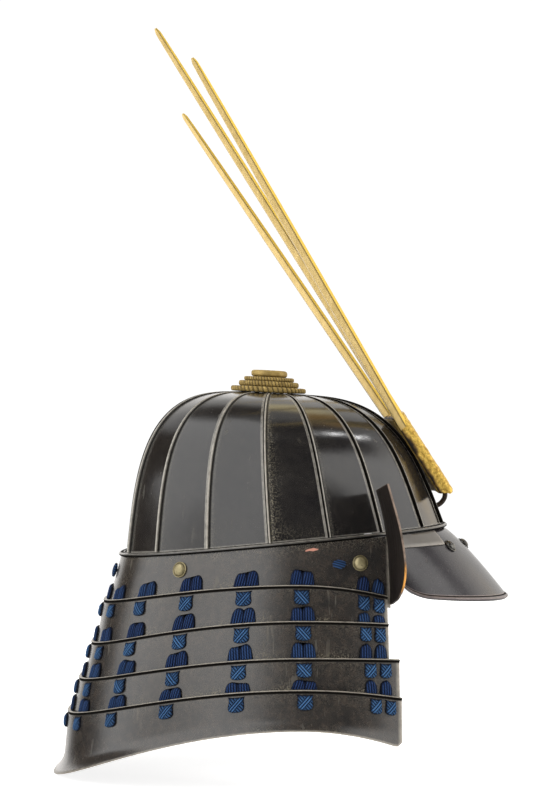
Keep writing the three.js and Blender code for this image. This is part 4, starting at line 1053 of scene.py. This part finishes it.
class Graph:
    """Nodes of a material or a world: each call adds one and returns its output."""

    def __init__(self, owner):
        owner.use_nodes = True
        self.owner = owner
        self.tree = owner.node_tree
        self.place = self.add("ShaderNodeTexCoord", "Object", {})

    def feed(self, socket, value):
        if isinstance(value, bpy.types.NodeSocket):
            self.tree.links.new(value, socket)
        elif socket.type == "RGBA":
            socket.default_value = (*value, 1.0)
        else:
            socket.default_value = value

    def add(self, kind, output, inputs, **settings):
        node = self.tree.nodes.new(kind)
        for key, value in settings.items():
            setattr(node, key, value)
        for key, value in inputs.items():
            self.feed(node.inputs[key], value)
        return node.outputs[output]

    def layer(self, name):
        return self.add("ShaderNodeAttribute", "Fac", {}, attribute_name=name)

    def stretch(self, scale, turn):
        inputs = {"Vector": self.place, "Scale": scale, "Rotation": turn}
        return self.add("ShaderNodeMapping", "Vector", inputs)

    def noise(self, scale, detail, rough=0.55, vector=None, distortion=0.0):
        inputs = {"Vector": vector or self.place, "Scale": scale, "Detail": detail, "Roughness": rough}
        return self.add("ShaderNodeTexNoise", "Fac", inputs | {"Distortion": distortion})

    def span(self, value, low, high, out_low=0.0, out_high=1.0):
        inputs = {"Value": value, "From Min": low, "From Max": high, "To Min": out_low, "To Max": out_high}
        return self.add("ShaderNodeMapRange", "Result", inputs)

    def spots(self, scale, detail, rough, low, high, out_low=0.0, out_high=1.0):
        """Noise stretched between two of its values."""
        return self.span(self.noise(scale, detail, rough), low, high, out_low, out_high)

    def math(self, operation, a, b):
        return self.add("ShaderNodeMath", 0, {0: a, 1: b}, operation=operation)

    def times(self, a, b):
        return self.math("MULTIPLY", a, b)

    def larger(self, a, b):
        return self.math("MAXIMUM", a, b)

    def mix(self, factor, a, b):
        """Colour between two colours."""
        return self.add("ShaderNodeMix", 2, {0: factor, 6: a, 7: b}, data_type="RGBA")

    def blend(self, factor, a, b):
        """Number between two numbers."""
        return self.add("ShaderNodeMix", 0, {0: factor, 2: a, 3: b}, data_type="FLOAT")

    def bump(self, height, strength, distance, after=None):
        inputs = {"Height": height, "Strength": strength, "Distance": distance}
        return self.add("ShaderNodeBump", "Normal", inputs | ({"Normal": after} if after else {}))

    def finish(self, slot, colour, polish, **others):
        """Feeds the shader: other sockets go by their names in small letters."""
        shader = self.tree.nodes["Principled BSDF"]
        wanted = {"base_color": colour, "roughness": polish} | others
        for socket in shader.inputs:
            name = socket.name.lower().replace(" ", "_")
            if name in wanted:
                self.feed(socket, wanted[name])
        return Finish(self.owner, slot)


def new_graph(name):
    return Graph(bpy.data.materials.new(name))


def scratches(graph, turn, scale):
    """Thin lines that run roughly one way, broken up by patches."""
    vector = graph.stretch((scale * 30, scale * 30, scale), turn)
    line = graph.span(graph.noise(1.0, 2.0, 0.5, vector, 0.4), 0.65, 0.69)
    return graph.times(line, graph.spots(30.0, 2.0, 0.55, 0.52, 0.62))


def lacquer(tone):
    """Old lacquer on iron: pale along raised edges, partly worn and partly a painted highlight, black in the
    joints and in painted shade under edges and beside ribs, dusty and finely scratched.
    """
    graph = new_graph(tone.name)
    # Dark joints, plus painted shade under rolled edges, under the rim moulding, in the visor's groove and
    # beside ribs
    joint = graph.layer("crevice")
    cloud = graph.spots(60.0, 6.0, 0.65, 0.42, 0.72)
    mottle = graph.spots(210.0, 6.0, 0.72, 0.42, 0.66)
    dust = graph.times(graph.spots(850.0, 4.0, 0.8, 0.5, 0.6), graph.layer("dust"))
    dust = graph.math("MINIMUM", dust, 0.85)
    marks = graph.larger(scratches(graph, (0.3, 0.2, 0.4), 9.0), scratches(graph, (1.2, 0.5, -0.6), 7.0))
    marks = graph.larger(marks, graph.times(graph.spots(900.0, 3.0, 0.7, 0.62, 0.7), cloud))
    edge = graph.times(graph.layer("wear"), graph.spots(260.0, 5.0, 0.7, 0.3, 0.6, 0.45, 1.0))
    ragged = graph.math("ADD", graph.layer("chip"), graph.spots(240.0, 4.0, 0.7, 0.3, 0.7, -0.25, 0.25))
    chip = graph.span(ragged, 0.45, 0.6)
    colour = graph.mix(graph.times(graph.spots(9.0, 3.0, 0.6, 0.35, 0.7), 0.4), tone.base, tone.cloud)
    colour = graph.mix(graph.times(cloud, tone.cloudy), colour, tone.cloud)
    colour = graph.mix(graph.times(mottle, tone.cloudy), colour, tone.mottle)
    colour = graph.mix(graph.times(marks, 0.1), colour, tone.dust)
    # The pale worn colour also paints the highlight on lit top edges, and the joint black the painted shade
    for share, cover in ((dust, tone.dust), (edge, tone.worn), (chip, CHIP_COLOUR), (joint, JOINT_AND_SHADE_BLACK)):
        colour = graph.mix(share, colour, cover)
    polish = graph.spots(16.0, 5.0, 0.65, 0.3, 0.75, tone.smooth, tone.rough)
    polish = graph.math("ADD", polish, graph.times(graph.larger(marks, dust), 0.2))
    polish = graph.blend(graph.larger(edge, chip), polish, 0.5)
    polish = graph.blend(joint, polish, 0.9)
    gloss = graph.blend(joint, graph.blend(dust, tone.shine, 0.2), 0.03)
    normal = graph.bump(graph.noise(38.0, 2.0, 0.5), 0.12, 0.0012)
    normal = graph.bump(mottle, 0.04, 0.0003, normal)
    normal = graph.bump(graph.noise(420.0, 6.0, 0.65), 0.02, 0.0003, normal)
    return graph.finish("black_lacquer", colour, polish, specular_ior_level=gloss, normal=normal)


def flap_lacquer():
    """Dark streaked back of the flap with an orange-gold worn outer edge."""
    graph = new_graph("flap_lacquer")
    streak = graph.noise(1.0, 5.0, 0.6, graph.stretch((300, 300, 22), (0.1, 0, 0)))
    colour = graph.mix(graph.span(streak, 0.38, 0.68), (0.003, 0.002, 0.0017), (0.014, 0.009, 0.0065))
    colour = graph.mix(graph.spots(40.0, 4.0, 0.6, 0.55, 0.8), colour, (0.022, 0.016, 0.012))
    chipped = graph.times(graph.layer("wear"), graph.spots(150.0, 5.0, 0.7, 0.3, 0.55, 0.15, 1.0))
    worn_edge = graph.mix(graph.layer("gilt"), (0.20, 0.145, 0.11), (0.60, 0.27, 0.05))
    colour = graph.mix(chipped, colour, worn_edge)
    polish = graph.blend(chipped, graph.span(streak, 0.3, 0.7, 0.42, 0.65), 0.45)
    normal = graph.bump(streak, 0.15, 0.0006)
    return graph.finish("black_lacquer", colour, polish, specular_ior_level=0.3, normal=normal)


def braid():
    """Indigo silk braid with painted shade in the folds between cords and round the edges of pads and knots,
    and a painted sheen on the cord tops; darker on the paired humps, brighter on the crossed knots.
    """
    graph = new_graph("indigo_braid")
    ridge = graph.layer("ridge")
    fibre = graph.noise(1500.0, 3.0, 0.7)
    # Painted shade and highlight: near black where the ridge layer is low, lighter on the cord tops
    low, high = graph.span(ridge, 0.15, 0.55), graph.span(ridge, 0.62, 0.95)
    dark = graph.mix(low, (0.0004, 0.0007, 0.0025), (0.003, 0.008, 0.029))
    dark = graph.mix(high, dark, (0.011, 0.028, 0.095))
    bright = graph.mix(low, (0.0008, 0.002, 0.007), (0.02, 0.055, 0.125))
    bright = graph.mix(high, bright, (0.055, 0.145, 0.30))
    colour = graph.mix(graph.layer("bright"), dark, bright)
    # Painted sheen on the cord tops
    light = graph.times(graph.span(fibre, 0.5, 0.75), graph.span(ridge, 0.6, 1.0, 0.0, 0.3))
    colour = graph.mix(light, colour, (0.075, 0.15, 0.33))
    colour = graph.mix(graph.times(graph.spots(70.0, 3.0, 0.6, 0.5, 0.8), 0.3), colour, (0.006, 0.014, 0.05))
    normal = graph.bump(fibre, 0.35, 0.0004)
    return graph.finish("indigo_braid", colour, 0.85, specular_ior_level=0.2, normal=normal)


def aged_metal(tone):
    """Tarnished metal, darker in the grooves."""
    graph = new_graph(tone.name)
    patina = graph.noise(160.0, 6.0, 0.7)
    colour = graph.mix(graph.span(patina, 0.35, 0.68), tone.dark, tone.light)
    colour = graph.mix(graph.span(graph.layer("ridge"), 0.0, 0.75, 0.88, 0.0), colour, (0.022, 0.016, 0.008))
    polish = graph.span(patina, 0.3, 0.7, tone.rough + 0.14, tone.rough - 0.1)
    normal = graph.bump(graph.noise(520.0, 5.0, 0.7), 0.2, 0.0005)
    return graph.finish(tone.slot, colour, polish, metallic=tone.metallic, normal=normal)


def gilt_prong():
    """Rubbed gilding with painted reflection and shade: the front bevel painted a brighter, yellower and more
    metallic gold than the paler sides, and the groove painted dark.
    """
    graph = new_graph("gilt_prong")
    front = graph.layer("front")
    rub = graph.noise(1.0, 3.0, 0.55, graph.stretch((300, 300, 30), (0, 0.56, 0)))
    colour = graph.mix(graph.span(rub, 0.35, 0.7), (0.60, 0.43, 0.155), (0.74, 0.55, 0.23))
    # Painted reflection: the front bevel gets a brighter, yellower gold than the sides
    colour = graph.mix(front, colour, (0.80, 0.55, 0.07))
    pits = graph.times(graph.spots(380.0, 5.0, 0.75, 0.66, 0.76), 0.05)
    colour = graph.mix(pits, colour, (0.24, 0.13, 0.03))
    # Painted shade in the groove
    colour = graph.mix(graph.times(graph.layer("groove"), 0.8), colour, (0.10, 0.06, 0.015))
    polish = graph.span(rub, 0.3, 0.7, 0.38, 0.5)
    # The front bevel is also made more metallic, part of the painted reflection
    shine = graph.blend(front, 0.35, 0.6)
    normal = graph.bump(rub, 0.02, 0.0003)
    return graph.finish("gilt", colour, polish, metallic=shine, normal=normal)


def gilt_base():
    """Thick crumpled gold leaf, turned brown and then black towards the rear by painted shade."""
    graph = new_graph("gilt_base")
    rear = graph.layer("rear")
    crumple = graph.noise(420.0, 5.0, 0.7, None, 0.6)
    fold = graph.span(crumple, 0.36, 0.62)
    # Painted shade: gold to brown to black towards the rear, with less shine
    edge = graph.math("ADD", rear, graph.spots(110.0, 4.0, 0.6, 0.3, 0.7, -0.16, 0.16))
    colour = graph.mix(fold, (0.36, 0.20, 0.03), (0.90, 0.62, 0.13))
    colour = graph.mix(graph.span(edge, 0.7, 0.86), colour, (0.16, 0.085, 0.018))
    colour = graph.mix(graph.span(edge, 0.84, 0.95), colour, (0.012, 0.008, 0.005))
    worn_gold = graph.mix(fold, (0.14, 0.085, 0.02), (0.42, 0.27, 0.06))
    colour = graph.mix(graph.span(rear, 0.9975, 0.9995), colour, worn_gold)
    polish = graph.span(edge, 0.5, 0.9, 0.4, 0.6)
    shine = graph.span(edge, 0.55, 0.9, 0.6, 0.1)
    normal = graph.bump(crumple, 0.45, 0.0009)
    return graph.finish("gilt", colour, polish, metallic=shine, normal=normal)


def forged_iron():
    graph = new_graph("forged_iron")
    rust = graph.noise(300.0, 6.0, 0.7)
    colour = graph.mix(graph.span(rust, 0.35, 0.7), (0.012, 0.010, 0.009), (0.075, 0.052, 0.038))
    polish = graph.span(rust, 0.3, 0.7, 0.42, 0.68)
    normal = graph.bump(rust, 0.3, 0.0005)
    return graph.finish("bare_iron", colour, polish, metallic=0.5, normal=normal)


BOWL_LACQUER, LAME_LACQUER, VISOR_LACQUER, STRIP_LACQUER = map(lacquer, table(
    "name base cloud mottle cloudy smooth rough shine worn dust",
    ("bowl_lacquer", (0.007, 0.0065, 0.007), (0.026, 0.023, 0.019), (0.035, 0.031, 0.027),
     0.25, 0.13, 0.22, 0.85, (0.40, 0.375, 0.325), (0.22, 0.195, 0.14)),
    ("lame_lacquer", (0.013, 0.0125, 0.012), (0.045, 0.038, 0.031), (0.075, 0.056, 0.042),
     0.34, 0.2, 0.32, 0.95, (0.36, 0.325, 0.27), (0.30, 0.265, 0.19)),
    ("visor_lacquer", (0.016, 0.0145, 0.018), (0.045, 0.040, 0.043), (0.05, 0.045, 0.045),
     0.25, 0.18, 0.28, 0.95, (0.34, 0.265, 0.245), (0.19, 0.16, 0.15)),
    ("strip_lacquer", (0.11, 0.10, 0.088), (0.14, 0.125, 0.105), (0.09, 0.08, 0.07),
     0.4, 0.3, 0.42, 0.9, (0.34, 0.31, 0.27), (0.19, 0.17, 0.15)),
))
FINIAL_BRASS, RIVET_BRASS, RIVET_IRON = map(aged_metal, table(
    "name slot light dark rough metallic",
    ("finial_brass", "aged_brass", (0.52, 0.37, 0.12), (0.25, 0.17, 0.05), 0.55, 0.3),
    ("rivet_brass", "aged_brass", (0.42, 0.36, 0.20), (0.20, 0.165, 0.085), 0.36, 0.55),
    ("rivet_iron", "bare_iron", (0.20, 0.195, 0.18), (0.035, 0.032, 0.03), 0.22, 0.9),
))
FLAP_LACQUER = flap_lacquer()
BRAID = braid()
GILT_PRONG = gilt_prong()
GILT_BASE = gilt_base()
IRON_HOOK = forged_iron()

# Bowl pieces
for number, (start, end, rib_at_start, rib_at_end) in enumerate(bowl_plates(), 1):
    dustiness = DUSTY if number in DUSTY_PLATES else CLEAN
    plate = bowl_plate(start, end, rib_at_start, rib_at_end, 1.7 * number, dustiness)
    make_piece(f"bowl_plate_{number:02d}", plate, BOWL_LACQUER)
make_piece("rim_band", rim_band(), BOWL_LACQUER)
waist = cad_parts["waist_band"]
waist.data.materials.clear()
waist.data.materials.append(LAME_LACQUER.material)

# Finial pieces
floor_z = CROWN_Z + RIB_CROWN_HEIGHT + GAP
for tier in FINIAL_TIERS:
    make_piece(tier.node, finial_tier(tier, floor_z), FINIAL_BRASS, BEAD_SHARP)
    floor_z += tier.height + GAP

# Visor pieces
make_piece("visor", visor_plate(), VISOR_LACQUER)
make_piece("visor_strip_right", visor_strip(1), STRIP_LACQUER)
make_piece("visor_strip_left", visor_strip(-1), STRIP_LACQUER)
for rivet in VISOR_RIVETS:
    origin = visor_point(rivet.turn, rivet.along, 0.0)
    out = unit(visor_point(rivet.turn, rivet.along, 1.0) - origin)
    make_piece(rivet.node, dome_rivet(origin, out, VISOR_RIVET_RADIUS, 2.9, 0.6, IRON + 0.8), RIVET_IRON)

# Neck guard pieces
for k in range(len(LAMES)):
    make_piece(f"lame_{k + 1}", lame_band(k), LAME_LACQUER)
make_piece("lame_1", flap(-1), FLAP_LACQUER, name="flap_right")
make_piece("lame_1", flap(1), FLAP_LACQUER, name="flap_left")
for rivet in LAME_RIVETS:
    origin = lame_depth(0, rivet.angle, rivet.depth, 0)
    out = lame_normal(0, rivet.angle, rivet.depth)
    wall = float(np.dot(origin - rim_point(rivet.angle, -IRON, rivet.depth), out))
    make_piece(rivet.node, dome_rivet(origin, out, LAME_RIVET_RADIUS, 3.2, 0.7, wall + 2.3), RIVET_BRASS)
for knot in LAME_KNOTS:
    make_piece(knot.node, oval_knot(knot), BRAID, BRAID_SHARP)

# Lacing pieces, from the back to the two close columns at the front ends
lace_columns = [([angle] * len(LAMES), PAIR_HALF, KNOT_HALF) for angle in LACE_ANGLES]
for inset in (LACE_PAIR_SPACING, 0):
    lace_columns.append(([angle_at_x(lame.lace_x - inset) for lame in LAMES], END_PAIR_HALF, END_KNOT_HALF))
for number, (angles, half_pair, half_knot) in enumerate(lace_columns):
    for hand, sign in (("right", 1), ("left", -1)) if number else (("back", 1),):
        node = f"lacing_{hand}_{number}" if number else "lacing_back"
        part = lace_column([sign * angle for angle in angles], half_pair, half_knot)
        make_piece(node, part, BRAID, BRAID_SHARP)

# Crest pieces
make_piece("crest_base", crest_base(), GILT_BASE)
for node, side in (("crest_prong_centre", 0), ("crest_prong_left", 1), ("crest_prong_right", -1)):
    make_piece(node, prong(side), GILT_PRONG)
make_piece("crest_hook", crest_hook(), IRON_HOOK)


# Studio

def link_object(name, data):
    thing = bpy.data.objects.new(name, data)
    bpy.context.scene.collection.objects.link(thing)
    return thing


def look(thing, place, aim):
    thing.location = place
    thing.rotation_euler = (Vector(aim) - Vector(place)).to_track_quat("-Z", "Y").to_euler()


def studio_floor():
    level = cad_box[0].z - FLOOR_DROP
    corners = lathe([(FLOOR_RADIUS, level)], FLOOR_SIDES)[:, 0]
    mesh = bpy.data.meshes.new("floor")
    mesh.from_pydata(corners.tolist(), [], [tuple(range(FLOOR_SIDES))])
    graph = new_graph("floor_paper")
    colour = graph.mix(graph.spots(3.0, 2.0, 0.55, 0.3, 0.7, 0.82, 0.86), (0.7, 0.7, 0.7), (0.92, 0.92, 0.92))
    paper = graph.finish(None, colour, 0.9, emission_color=(1.0, 1.0, 1.0), emission_strength=FLOOR_GLOW)
    mesh.materials.append(paper.material)
    floor = link_object("floor", mesh)
    floor.visible_glossy = False


def studio_world():
    """Light tent: white to the camera, and a soft studio of lit and dark patches in the reflections."""
    world = bpy.data.worlds.new("studio")
    bpy.context.scene.world = world
    graph = Graph(world)
    direction = graph.add("ShaderNodeTexCoord", "Generated", {})
    studio = STUDIO_GREY
    for patch in STUDIO_PATCHES:
        cos_up, sin_up = cos_sin(patch.above)
        cos, sin = cos_sin(patch.around)
        centre = (cos_up * sin, -cos_up * cos, sin_up)
        inputs = {0: direction, 1: centre}
        towards = graph.add("ShaderNodeVectorMath", "Value", inputs, operation="DOT_PRODUCT")
        outer, inner = (cos_sin(patch.reach + side * patch.soft)[0] for side in (1, -1))
        studio = graph.mix(graph.span(towards, outer, inner), studio, patch.colour)
    to_camera = graph.add("ShaderNodeLightPath", "Is Camera Ray", {})
    graph.feed(graph.tree.nodes["Background"].inputs["Color"], graph.mix(to_camera, studio, TENT_WHITE))


studio_floor()
studio_world()
for lamp in LAMPS:
    light = bpy.data.lights.new(lamp.name, "AREA")
    light.shape = "RECTANGLE"
    light.size = lamp.width
    light.size_y = lamp.height
    light.energy = lamp.power
    light.color = lamp.colour
    lit = link_object(lamp.name, light)
    lit.visible_glossy = lamp.mirrored
    look(lit, lamp.place, lamp.aim)

camera = bpy.data.cameras.new("camera")
camera.lens = CAMERA_LENS
camera.sensor_width = CAMERA_SENSOR
camera.clip_start = CAMERA_NEAR
camera.clip_end = CAMERA_FAR
eye = link_object("camera", camera)
look(eye, Vector(CAMERA_EYE) * MM, Vector(CAMERA_AIM) * MM)
bpy.context.scene.camera = eye
bpy.context.scene.view_settings.view_transform = "Standard"
